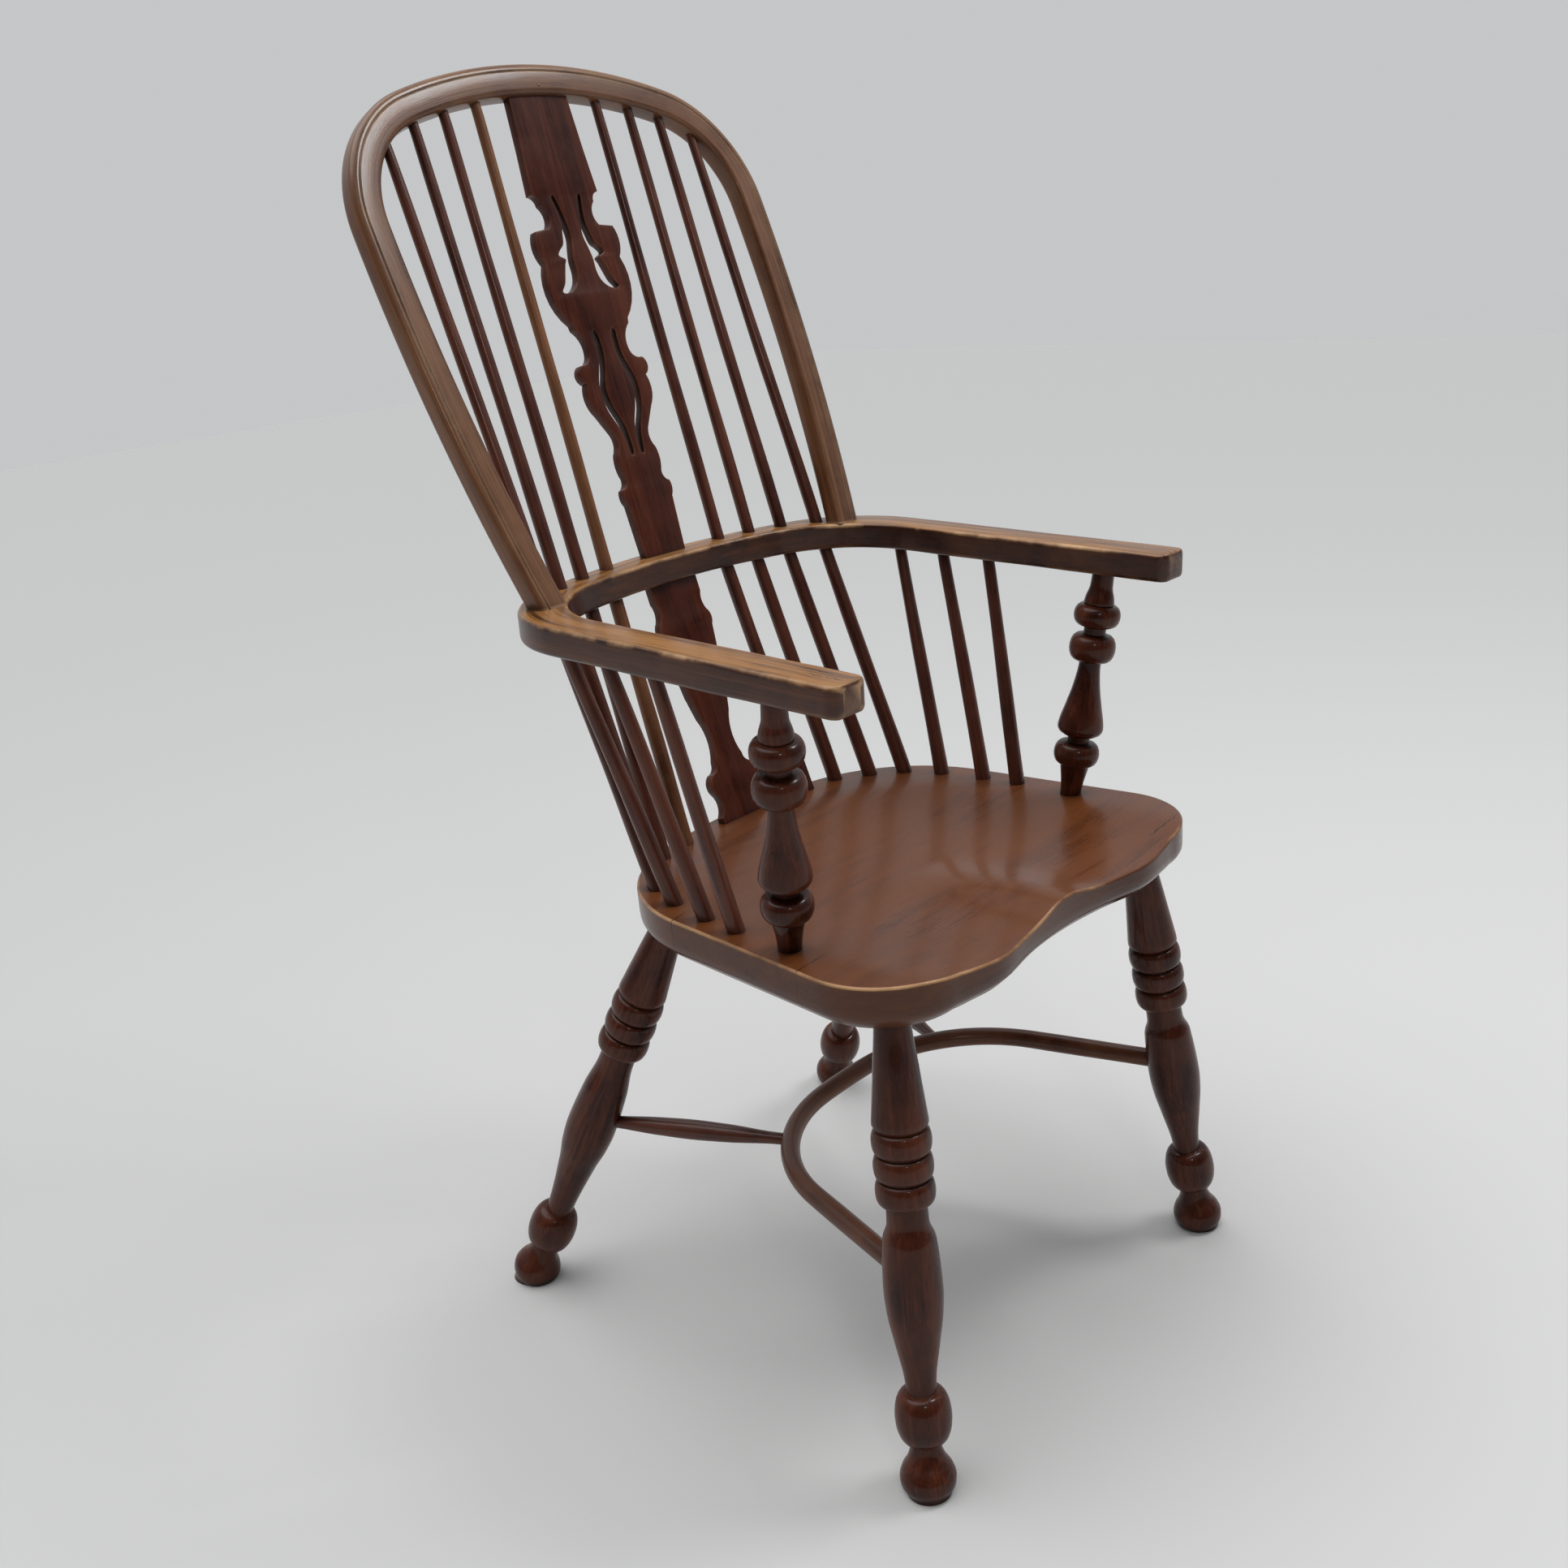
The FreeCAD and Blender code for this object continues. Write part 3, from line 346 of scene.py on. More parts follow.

# %% [markdown]
# ## Waxed wood
# One function builds a waxed wood from the shared effects. It lays them over each other:
# the figure of the wood, the golden tops (part wear, part painted light from above), dark
# pores, pale edges, painted shade in recesses, and cracks. The place that the grain follows
# is stored in every piece, so that it runs along each leg, stick and bend.


# %% Waxed wood
def waxed_wood(name, dark, mid, light, worn, ring_spacing=90.0, streak_spacing=420.0, stretch=0.06,
               wear=0.6, patch_size=18.0, gloss=0.34, coat=0.2, relief=0.25, worn_and_lit_tops=0.0,
               worn_and_lit_top_colour=None, cracks=(), coat_rough=0.16, pore_depth=0.6, sheen=0.3,
               faces_from=0.35, streak_floor=0.0):
    """Finish in four shades; faces that look up turn golden, partly as real wear and partly as painted light
    from above.
    """
    material = new_material(name)
    tree = material.node_tree
    shader = tree.nodes["Principled BSDF"]
    place = add_node(tree, "Attribute", {"attribute_name": "grain_place"}).outputs["Vector"]
    grain = add_node(tree, "Group", {"node_tree": wood_grain}, Place=place, Ring_Spacing=ring_spacing,
                     Streak_Spacing=streak_spacing, Stretch=stretch)
    edges = add_node(tree, "Group", {"node_tree": edge_wear}, Patch_Size=patch_size)
    recess_shading = add_node(tree, "Group", {"node_tree": recess_shade})
    shades = add_node(tree, "ValToRGB", Fac=grain.outputs["Figure"])
    shades.color_ramp.elements[0].color = dark
    shades.color_ramp.elements[1].color = light
    middle = shades.color_ramp.elements.new(0.5)
    middle.color = mid

    def layered(factor, below, above):
        node = add_node(tree, "Mix", {"data_type": "RGBA"}, i0=factor, i6=below, i7=above)
        return node.outputs[2]

    # Broad blotches, then the golden tops, which are part wear and part painted light from above
    blotch = scaled(tree, edges.outputs["Patches"], 0.0, 1.0, 0.0, 0.55)
    colour = layered(blotch, shades.outputs["Color"], light)
    if worn_and_lit_tops:
        # Faces that look up take a golden colour: hand wear together with painted light from above
        normal = add_node(tree, "NewGeometry").outputs["Normal"]
        up = add_node(tree, "SeparateXYZ", Vector=normal).outputs["Z"]
        faces_up = scaled(tree, up, faces_from, faces_from + 0.5, 0.0, worn_and_lit_tops)
        streaky = scaled(tree, grain.outputs["Figure"], 0.2, 0.6, streak_floor, 1.0)
        colour = layered(combined(tree, "MULTIPLY", faces_up, streaky), colour, worn_and_lit_top_colour)
    # Pores, pale edges, painted shade in recesses and cracks
    colour = layered(scaled(tree, grain.outputs["Pores"], 0.0, 1.0, 0.0, pore_depth), colour, dark)
    marked = add_node(tree, "Attribute", {"attribute_name": "rubbed_edge"}).outputs["Fac"]
    marked = combined(tree, "MULTIPLY", marked, scaled(tree, edges.outputs["Patches"], 0.25, 0.9))
    rubbed_all = combined(tree, "MAXIMUM", edges.outputs["Wear"], marked)
    colour = layered(scaled(tree, rubbed_all, 0.0, 1.0, 0.0, wear), colour, worn)
    # Painted shade: a near black laid where Ambient Occlusion finds little sky; the cracks take the same
    # colour
    shade_and_crack_dark = tuple(0.3 * level for level in dark[:3]) + (1.0,)
    colour = layered(scaled(tree, recess_shading.outputs["Recess Shade"], 0.0, 1.0, 0.0, 0.85), colour, shade_and_crack_dark)
    height = grain.outputs["Height"]
    for middle_place, half_length in cracks:
        crack = add_node(tree, "Group", {"node_tree": drying_crack}, Place=place, Middle=middle_place,
                         Half_Length=half_length).outputs["Crack"]
        colour = layered(crack, colour, shade_and_crack_dark)
        height = combined(tree, "SUBTRACT", height, crack)
    tree.links.new(colour, shader.inputs["Base Color"])
    # Gloss and relief
    rough = scaled(tree, grain.outputs["Figure"], 0.0, 1.0, gloss - 0.06, gloss + 0.08)
    rough = combined(tree, "ADD", rough, scaled(tree, edges.outputs["Patches"], 0.0, 1.0, 0.0, 0.14))
    tree.links.new(rough, shader.inputs["Roughness"])
    bump = add_node(tree, "Bump", Strength=relief, Distance=0.0006, Height=height)
    tree.links.new(bump.outputs["Normal"], shader.inputs["Normal"])
    shader.inputs["Specular IOR Level"].default_value = sheen
    shader.inputs["Coat Weight"].default_value = coat
    shader.inputs["Coat Roughness"].default_value = coat_rough
    print("finish:", name)
    return material


# %% [markdown]
# ### Turned parts and sticks
# Each finish has a dark, a middle and a light shade for the figure and a pale one for worn
# edges. Under old wax the legs and posts are nearly black and rather glossy. The sticks are
# redder and have a finer, longer grain, and one of them is of a paler wood.

# %% Finishes of the turned parts and sticks
turned_finish = waxed_wood("turned_wood", linear(22, 10, 7), linear(58, 27, 18), linear(98, 53, 36),
                           linear(124, 78, 54), ring_spacing=70.0, gloss=0.26, coat=0.28,
                           coat_rough=0.07, sheen=0.12)
stick_finish = waxed_wood("stick_wood", linear(32, 15, 11), linear(72, 36, 25), linear(108, 60, 42),
                          linear(138, 90, 62), ring_spacing=110.0, stretch=0.03, gloss=0.32, coat=0.3)
pale_stick_finish = waxed_wood("pale_stick_wood", linear(56, 30, 18), linear(104, 64, 40),
                               linear(140, 94, 62), linear(164, 120, 84), ring_spacing=110.0,
                               stretch=0.03, gloss=0.34)

# %% [markdown]
# ### Bent parts, splats and seat
# The arm is golden on top, partly where hands and sleeves rub it and partly as painted light
# from above, and it has small cracks near its end. The hoop is paler all over, with a painted
# highlight on the faces that look up. The elm seat has a broad figure and pale edges, its top
# painted lighter than its sides, part wear and part light from above, and the splats are the
# darkest of the flat pieces.

# %% Finishes of the bent parts, splats and seat
bent_finish = waxed_wood("bent_wood", linear(22, 10, 7), linear(60, 30, 17), linear(98, 56, 31),
                         linear(210, 166, 120), ring_spacing=95.0, stretch=0.022, streak_spacing=560.0,
                         wear=0.9, gloss=0.3, coat=0.3, worn_and_lit_tops=0.95,
                         worn_and_lit_top_colour=linear(162, 113, 63), pore_depth=0.85,
                         cracks=(((0.618, 0.0, 0.626), 0.022), ((0.626, 0.0, 0.640), 0.016)))
# On the hoop the pale colour of faces that look up is a painted highlight, the glare of the ceiling light.
hoop_finish = waxed_wood("hoop_wood", linear(50, 27, 17), linear(96, 59, 37), linear(130, 87, 56),
                         linear(196, 158, 122), ring_spacing=95.0, stretch=0.022, streak_spacing=560.0,
                         wear=0.8, gloss=0.3, coat=0.4, worn_and_lit_tops=0.65,
                         worn_and_lit_top_colour=linear(158, 122, 90), faces_from=0.3)
dark_bent_finish = waxed_wood("dark_bent_wood", linear(50, 25, 16), linear(86, 50, 33), linear(116, 74, 50),
                              linear(150, 108, 78), ring_spacing=80.0, stretch=0.03, gloss=0.36)
splat_finish = waxed_wood("splat_wood", linear(34, 13, 9), linear(70, 31, 20), linear(98, 50, 32),
                          linear(146, 98, 70), ring_spacing=60.0, stretch=0.05, gloss=0.3, coat=0.25,
                          sheen=0.15)
seat_finish = waxed_wood("elm_seat", linear(50, 26, 16), linear(74, 40, 24), linear(98, 58, 34),
                         linear(192, 148, 106), ring_spacing=34.0, streak_spacing=300.0, stretch=0.05,
                         patch_size=8.0, gloss=0.26, coat=0.32, relief=0.3, wear=0.95, worn_and_lit_tops=0.75,
                         worn_and_lit_top_colour=linear(108, 63, 34), pore_depth=0.3, sheen=0.2, streak_floor=0.5,
                         cracks=(((-0.257, 0.0, 0.176), 0.026), ((-0.172, 0.0, -0.212), 0.022),
                                 ((-0.020, 0.0, -0.216), 0.024)))
print("materials, with the frame's own:", len(bpy.data.materials))

# %% [markdown]
# ## Sweeps
# Every long piece of this chair is a section carried along a line: a leg in the lathe, a
# shaved stick, a steam-bent rail. One helper lays outlines along a line, joins them with
# quads and closes the ends. It also stores each point's place in the wood (across, up and
# along the piece), which the grain follows round every bend. Places are written in
# millimetres, with y counted from the chair's own datum as in the frame's plan.

# %% Places and round sections
plan_shift = 63.508
mm = 0.001


def at(x, y, z):
    """Point of the chair in metres, from its plan position and height in millimetres."""
    return Vector((x, y - plan_shift, z)) * mm


def round_section(radius, sides=36):
    """Circle in the two directions across a piece."""
    turns = [2.0 * math.pi * k / sides for k in range(sides)]
    return [(radius * math.cos(turn), radius * math.sin(turn)) for turn in turns]


print("the plan's zero lies", round(-at(0.0, 0.0, 0.0).y, 4), "m in front of the frame's origin")


# %% Sweep helper
def sweep(name, stations, finish, seed=0.0, sharp_deg=45.0, edge_marks=None):
    """Closed piece through stations of (centre, across, up, section, distance along)."""
    work = bmesh.new()
    place = work.verts.layers.float_vector.new("grain_place")
    rubbed_edge = work.verts.layers.float.new("rubbed_edge")
    rows = []
    for centre, across, up, section, distance in stations:
        row = []
        for (u, v), mark in zip(section, edge_marks or [0.0] * len(section)):
            vertex = work.verts.new(centre + across * (u * mm) + up * (v * mm))
            vertex[rubbed_edge] = mark
            vertex[place] = (u * mm + seed, v * mm - seed, distance * mm + seed)
            row.append(vertex)
        rows.append(row)
    for low, high in zip(rows, rows[1:]):
        for k in range(len(low)):
            work.faces.new((low[k - 1], low[k], high[k], high[k - 1]))
    work.faces.new(list(reversed(rows[0])))
    work.faces.new(rows[-1])
    bmesh.ops.recalc_face_normals(work, faces=work.faces)
    for face in work.faces:
        face.smooth = True
    for edge in work.edges:
        edge.smooth = edge.calc_face_angle(0.0) < math.radians(sharp_deg)
    mesh = bpy.data.meshes.new(name)
    work.to_mesh(mesh)
    work.free()
    mesh.materials.append(finish)
    piece = bpy.data.objects.new(name, mesh)
    bpy.context.collection.objects.link(piece)
    return piece


print("a round section has", len(round_section(1.0)), "points")

# %% [markdown]
# ### Cutting and fitting
# A piece is made a little too long and then cut at its shoulder, as at the bench. After
# that it is fitted: it rides on the chair's one body, and its node of the frame is
# hidden.


# %% Cut and fit
def trim(piece, point, normal):
    """Cut away what lies behind a plane and close the cut."""
    work = bmesh.new()
    work.from_mesh(piece.data)
    everything = work.verts[:] + work.edges[:] + work.faces[:]
    cut = bmesh.ops.bisect_plane(work, geom=everything, plane_co=point, plane_no=normal, clear_inner=True)
    rim = [item for item in cut["geom_cut"] if isinstance(item, bmesh.types.BMEdge)]
    if rim:
        bmesh.ops.contextual_create(work, geom=rim)
        for edge in rim:
            edge.smooth = False
        bmesh.ops.recalc_face_normals(work, faces=work.faces)
    work.to_mesh(piece.data)
    work.free()


def fitted(piece, node):
    """The piece rides on the chair's one body, and the frame's node is hidden."""
    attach(piece, "root")
    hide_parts(node)


print("nodes to replace:", len(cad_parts))

# %% [markdown]
# ### Turning
# A turner works from a pattern stick: marks along the piece, each with a diameter. The
# profile here is the same, as pairs of distance and radius. Curves that never overshoot
# join them, and a bead is a flattened half circle.


# %% Turned profiles
def square_to(along, steady):
    """Two directions square to a line, the first as near as can be to a steady one."""
    across = (steady - along * along.dot(steady)).normalized()
    return across, along.cross(across)


def turned_piece(name, start, end, profile, finish, seed):
    """Piece turned about a line; the profile is distances and radii in millimetres."""
    along = (end - start).normalized()
    across, up = square_to(along, Vector((1.0, 0.0, 0.0)))
    stations = [(start + along * (step * mm), across, up, round_section(radius), step)
                for step, radius in profile]
    return sweep(name, stations, finish, seed)


def flowing(points, step=1.6):
    """Smooth curve through (distance, radius) pairs, with no overshoot between them."""
    slopes = [(y1 - y0) / (x1 - x0) for (x0, y0), (x1, y1) in zip(points, points[1:])]
    tangents = [slopes[0]]
    for before, after in zip(slopes, slopes[1:]):
        tangents.append(0.0 if before * after <= 0.0 else 2.0 * before * after / (before + after))
    tangents.append(slopes[-1])
    curve = [points[0]]
    for (x0, y0), (x1, y1), t0, t1 in zip(points, points[1:], tangents, tangents[1:]):
        width = x1 - x0
        count = max(1, int(width / step))
        for k in range(1, count + 1):
            t = k / count
            ease = t * t * (3.0 - 2.0 * t)
            bow = width * (t0 * t * (1.0 - t) ** 2 - t1 * t * t * (1.0 - t))
            curve.append((x0 + width * t, y0 + (y1 - y0) * ease + bow))
    return curve


def bead(low, high, edge, rim, steps=9):
    """Half-round swelling between two distances."""
    middle, half = (low + high) / 2.0, (high - low) / 2.0
    turns = [math.pi * k / steps for k in range(steps + 1)]
    return [(middle - half * math.cos(turn), edge + (rim - edge) * math.sin(turn) ** 0.8)
            for turn in turns]


print("a bead 20 mm long has", len(bead(0.0, 20.0, 12.0, 20.0)), "points")

# %% [markdown]
# ## Legs
# Each leg is a pad foot, a ball, a long belly, three rings and a taper that enters the
# seat. The real ones came off a lathe, so the profile is drawn once and turned round each
# leg's own line. Every leg takes its grain from another place, as if cut from another
# billet. A leg is cut flat at the floor and at the seat's underside.

# %% Turn the legs
seat_top = 447.0
seat_under = 408.0
leg_lines = {"front": ((224.0, -206.0), (182.5, -165.5)), "back": ((236.0, 289.0), (144.0, 116.0))}
hands = (("right", -1.0), ("left", 1.0))


ring_pitch = 21.0
ring_length = 20.0


def leg_profile(length):
    """Distances from the floor and radii; the belly stretches with the leg's length."""
    waist = length - 159.0
    belly = 0.516 * (92.0 + waist)
    profile = flowing([(-12.0, 18.0), (0.0, 19.0), (7.0, 22.6), (14.0, 23.4), (21.0, 21.4), (31.0, 15.6),
                       (40.0, 12.9), (44.0, 12.6)])
    profile += bead(45.5, 90.0, 12.8, 23.4, 14)
    profile += flowing([(91.0, 12.6), (97.0, 12.8), (belly - 44.0, 18.6), (belly - 20.0, 22.6),
                        (belly, 24.0), (belly + 45.0, 21.6), (waist - 16.0, 17.0), (waist, 16.6)], 3.0)
    for ring in range(3):
        low = waist + 1.5 + ring_pitch * ring
        profile += bead(low, low + ring_length, 20.0, 24.2)
    top = waist + 64.5
    profile += flowing([(top + 0.8, 21.0), (top + 3.5, 22.8), (top + 12.0, 22.0), (top + 45.0, 18.6),
                        (length, 14.2), (length + 12.0, 14.0)], 3.0)
    return profile


for end, (foot_plan, top_plan) in leg_lines.items():
    for hand, side in hands:
        foot = at(side * foot_plan[0], foot_plan[1], 0.0)
        top = at(side * top_plan[0], top_plan[1], seat_under)
        node = end + "_" + hand + "_leg"
        billet = 0.31 * len(node) + 0.17 * side + foot.y
        profile = leg_profile((top - foot).length / mm)
        leg = turned_piece("turned_" + node, foot, top, profile, turned_finish, billet)
        trim(leg, (0.0, 0.0, 0.0), (0.0, 0.0, 1.0))
        trim(leg, (0.0, 0.0, seat_under * mm), (0.0, 0.0, -1.0))
        fitted(leg, node)
        print(leg.name, len(leg.data.vertices), "points")

# %% [markdown]
# ## Arm posts
# The two posts under the hands are the busiest turnings: a flared foot, a bead, a short
# baluster, and two more beads up to the arm. They lean outward with the arms.

# %% Turn the arm posts
arm_slope = math.tan(math.radians(2.05))
arm_top = 698.0
arm_top_y = 225.0
arm_thick = 25.0
post_foot = (201.0, -82.0)
post_head = (223.0, -110.0)


def on_arm(x, y, drop=0.0):
    """Point at a depth under the sloping top face of the arm bow."""
    return at(x, y, arm_top + (y - arm_top_y) * arm_slope - drop)


def post_profile(length):
    """Distances and radii, as shares of the length so that it suits any lean."""
    steps = [(-0.05, 9.6), (0.0, 9.8), (0.05, 10.6), (0.115, 13.0), (0.131, 13.4)]
    profile = flowing([(place * length, radius) for place, radius in steps])
    profile += bead(0.137 * length, 0.238 * length, 13.4, 21.4)
    profile += flowing([(0.242 * length, 10.2), (0.268 * length, 10.4)])
    steps = [(0.274, 15.6), (0.285, 19.4), (0.305, 21.4), (0.335, 20.6), (0.40, 17.2), (0.50, 12.4),
             (0.585, 10.1), (0.602, 10.0)]
    profile += flowing([(place * length, radius) for place, radius in steps])
    profile += bead(0.608 * length, 0.722 * length, 13.2, 21.4)
    profile += flowing([(0.727 * length, 10.2), (0.752 * length, 10.2)])
    profile += bead(0.760 * length, 0.853 * length, 13.2, 21.4)
    steps = [(0.859, 14.0), (0.885, 13.0), (0.93, 10.4), (1.0, 9.9), (1.04, 9.8)]
    profile += flowing([(place * length, radius) for place, radius in steps])
    return profile


arm_normal = Vector((0.0, -arm_slope, 1.0)).normalized()
for hand, side in hands:
    foot = at(side * post_foot[0], post_foot[1], seat_top)
    head = on_arm(side * post_head[0], post_head[1], arm_thick)
    profile = post_profile((head - foot).length / mm)
    post = turned_piece("turned_" + hand + "_arm_post", foot, head, profile, turned_finish, 2.3 + side)
    trim(post, foot - Vector((0.0, 0.0, 0.004)), (0.0, 0.0, 1.0))
    trim(post, head, -arm_normal)
    fitted(post, hand + "_arm_post")
print("post height", round((head - foot).length, 4), "m")

# %% [markdown]
# ## Sticks
# The sticks were shaved by hand, so they are round but not quite true: each thins towards
# its head and wavers by a fraction of a millimetre. The long ones pass through the arm
# bow, where they bend back a little, and end in the hoop.

# %% Where the sticks stand
hoop_lean = math.radians(21.5)
hoop_foot_y = 164.0
hoop_thick = 21.0
long_feet = [(85.0, 154.0), (121.0, 147.0), (150.0, 125.0), (174.0, 99.0)]
long_knees = [(73.0, 229.0), (109.0, 221.5), (144.0, 210.0), (176.0, 190.0)]
long_heads = [(70.0, 439.0), (107.5, 432.0), (143.0, 423.0), (178.0, 402.0)]
short_feet = [(188.0, 62.0), (196.0, 16.0), (200.0, -22.0)]
short_heads = [(219.0, 123.0), (222.0, 72.0), (222.0, 18.0)]


def in_hoop(x, rise, depth=0.0):
    """Point in the hoop's leaning front plane, at a rise above the arm and a depth behind."""
    y = hoop_foot_y + rise * math.sin(hoop_lean) + depth * math.cos(hoop_lean)
    return at(x, y, arm_top + rise * math.cos(hoop_lean) - depth * math.sin(hoop_lean))


print("sticks on each side:", len(long_feet), "long and", len(short_feet), "short")

# %% Shave the sticks
foot_radius = 7.75
knee_radius = 6.5
hoop_end_radius = 4.7
arm_end_radius = 5.8
socket_depth = 0.013
head_tuck = 4.0


def shaved_stick(name, corners, radii, seed, finish):
    """Stick through two or three corners, with a radius at each."""
    stations = []
    distance = 0.0
    for (start, end), (low, high) in zip(zip(corners, corners[1:]), zip(radii, radii[1:])):
        along = (end - start).normalized()
        across, up = square_to(along, Vector((1.0, 0.0, 0.0)))
        length = (end - start).length / mm
        count = int(length / 14.0)
        for k in range(count):
            t = k / count
            waver = 0.22 * math.sin(seed * 7.0 + 0.021 * (distance + length * t))
            uneven = 0.14 * math.sin(seed + 0.045 * (distance + length * t))
            radius = low + (high - low) * t - 0.15 + uneven
            shape = [(u + waver, v - waver) for u, v in round_section(radius, 20)]
            stations.append((start + (end - start) * t, across, up, shape, distance + length * t))
        distance += length
    stations.append((corners[-1], across, up, round_section(radii[-1] - 0.2, 20), distance))
    return sweep(name, stations, finish, seed)


for hand, side in hands:
    for index in range(len(long_feet)):
        foot = at(side * long_feet[index][0], long_feet[index][1], seat_top)
        knee = on_arm(side * long_knees[index][0], long_knees[index][1], arm_thick / 2.0)
        head = in_hoop(side * long_heads[index][0], long_heads[index][1] + head_tuck, hoop_thick / 2.0)
        deep = foot + (foot - knee).normalized() * socket_depth
        node = hand + "_long_stick_" + str(index + 1)
        finish = pale_stick_finish if node == "right_long_stick_1" else stick_finish
        radii = [foot_radius, knee_radius, hoop_end_radius]
        stick = shaved_stick("shaved_" + node, [deep, knee, head], radii, 0.9 * index + 3.7 * side, finish)
        fitted(stick, node)
    for index in range(len(short_feet)):
        foot = at(side * short_feet[index][0], short_feet[index][1], seat_top)
        head = on_arm(side * short_heads[index][0], short_heads[index][1], arm_thick - 1.0)
        deep = foot + (foot - head).normalized() * socket_depth
        node = hand + "_short_stick_" + str(index + 1)
        stick = shaved_stick("shaved_" + node, [deep, head], [foot_radius, arm_end_radius],
                             0.7 * index + 1.9 * side, stick_finish)
        fitted(stick, node)

# %% [markdown]
# ## Bends
# The arm, the crinoline stretcher and the hoop are bent rails. Their lines are made of
# straight runs and arcs that touch, like the bending forms that such rails were pulled
# round. An arm, for one, is drawn as an outer and an inner line, between which the section
# is stretched, so that the rail is as uneven in width as the real one.


# %% Lines of a bent rail
def arc_points(centre, radius, start_deg, end_deg, count):
    """Points on an arc, with both its ends."""
    turns = [math.radians(start_deg + (end_deg - start_deg) * k / count) for k in range(count + 1)]
    return [(centre[0] + radius * math.cos(turn), centre[1] + radius * math.sin(turn)) for turn in turns]


def rail_line(half_width, wide_y, back_y, back_radius, corner_radius, taper_deg, front_y, counts):
    """Left half of a U from its front end to the middle of the back, in plan."""
    taper = math.radians(taper_deg)
    normal = (math.cos(taper), math.sin(taper))
    along = (-normal[1], normal[0])
    back_centre = back_y - back_radius
    offset = normal[0] * half_width + normal[1] * wide_y - corner_radius
    base = (normal[0] * offset, normal[1] * offset - back_centre)
    reach = back_radius - corner_radius
    half_b = base[0] * along[0] + base[1] * along[1]
    step = math.sqrt(half_b ** 2 - base[0] ** 2 - base[1] ** 2 + reach ** 2) - half_b
    corner = (base[0] + along[0] * step, base[1] + along[1] * step + back_centre)
    meet = math.degrees(math.atan2(corner[1] - back_centre, corner[0]))
    points = arc_points(corner, corner_radius, taper_deg, meet, counts[1])
    side_x, side_y = points[0]
    front_x = side_x + (side_y - front_y) * math.tan(taper)
    straight = [(front_x + (side_x - front_x) * k / counts[0], front_y + (side_y - front_y) * k / counts[0])
                for k in range(counts[0])]
    return straight + points + arc_points((0.0, back_centre), back_radius, meet, 90.0, counts[2])[1:]


def whole(half):
    """The half line and its mirror image, from the left end to the right one."""
    return half + [(-x, y) for x, y in reversed(half[:-1])]


def lengths_along(points):
    """Distance of each point from the first one, along the line."""
    distances = [0.0]
    for (x0, y0), (x1, y1) in zip(points, points[1:]):
        distances.append(distances[-1] + math.hypot(x1 - x0, y1 - y0))
    return distances


def rounded_section(width, thick, corner, low_v=0.0, steps=5):
    """Outline from u = 0 to width and v = low_v to low_v + thick, with round corners."""
    section = []
    right = width - corner
    low = low_v + corner
    high = low_v + thick - corner
    for u, v, start in ((right, high, 0.0), (corner, high, 90.0), (corner, low, 180.0), (right, low, 270.0)):
        section += arc_points((u, v), corner, start, start + 90.0, steps)
    return section


quarter = arc_points((0.0, 0.0), 100.0, 0.0, 90.0, 20)
print("a quarter circle of radius 100 mm is", round(lengths_along(quarter)[-1]), "mm long")

# %% [markdown]
# ### Crinoline stretcher and spurs
# The stretcher is a round bow between the front legs, and a spur holds it to each back
# leg. The spurs swell in the middle like a plain lathe spindle.

# %% Bend the stretcher
bow_height = 187.0
bow_radius = 8.9
upright = Vector((0.0, 0.0, 1.0))


def leg_at(leg, side, height):
    """Plan position of a leg's own line at a height."""
    (foot_x, foot_y), (top_x, top_y) = leg_lines[leg]
    part_way = height / seat_under
    return side * (foot_x + (top_x - foot_x) * part_way), foot_y + (top_y - foot_y) * part_way


wide_x, wide_y = leg_at("front", 1.0, bow_height)
bow_line = whole(rail_line(wide_x, wide_y, back_y=56.0, back_radius=600.0, corner_radius=147.0,
                           taper_deg=16.0, front_y=wide_y + 12.0, counts=(8, 22, 10)))
stations = []
for k, ((x, y), distance) in enumerate(zip(bow_line, lengths_along(bow_line))):
    ahead = bow_line[min(k + 1, len(bow_line) - 1)]
    behind = bow_line[max(k - 1, 0)]
    along = Vector((ahead[0] - behind[0], ahead[1] - behind[1], 0.0)).normalized()
    across = along.cross(upright)
    radius = bow_radius - 0.12 * math.sin(0.05 * distance)
    stations.append((at(x, y, bow_height), across, upright, round_section(radius, 24), distance))
stretcher = sweep("bent_stretcher", stations, dark_bent_finish, 4.1)
fitted(stretcher, "crinoline_stretcher")
print("stretcher:", round(lengths_along(bow_line)[-1]), "mm along")

# %% Turn the spurs
spur_x = 112.0
bow_end_depth = 0.003
leg_end_depth = 0.011
nearest = min(bow_line, key=lambda point: abs(point[0] - spur_x) - 0.01 * point[1])
for hand, side in hands:
    start = at(side * spur_x, nearest[1], bow_height)
    leg_x, leg_y = leg_at("back", side, bow_height)
    end = at(leg_x, leg_y, bow_height)
    along = (end - start).normalized()
    start, end = start + along * bow_end_depth, end - along * leg_end_depth
    length = (end - start).length / mm
    profile = flowing([(0.0, 5.4), (12.0, 5.6), (0.30 * length, 8.4), (0.5 * length, 9.4),
                       (0.70 * length, 8.4), (length - 14.0, 5.8), (length, 5.4)], 5.0)
    spur = turned_piece("turned_" + hand + "_spur", start, end, profile, stick_finish, 1.3 * side)
    fitted(spur, hand + "_spur")
print("spurs:", round(length), "mm")

# %% [markdown]
# ### Arm bow
# One rail runs from hand to hand round the back. Hands have rounded its edges, most of
# all at the front ends, which are also rounded off in plan. The section is stretched
# between the outer and the inner line and eased at every corner.

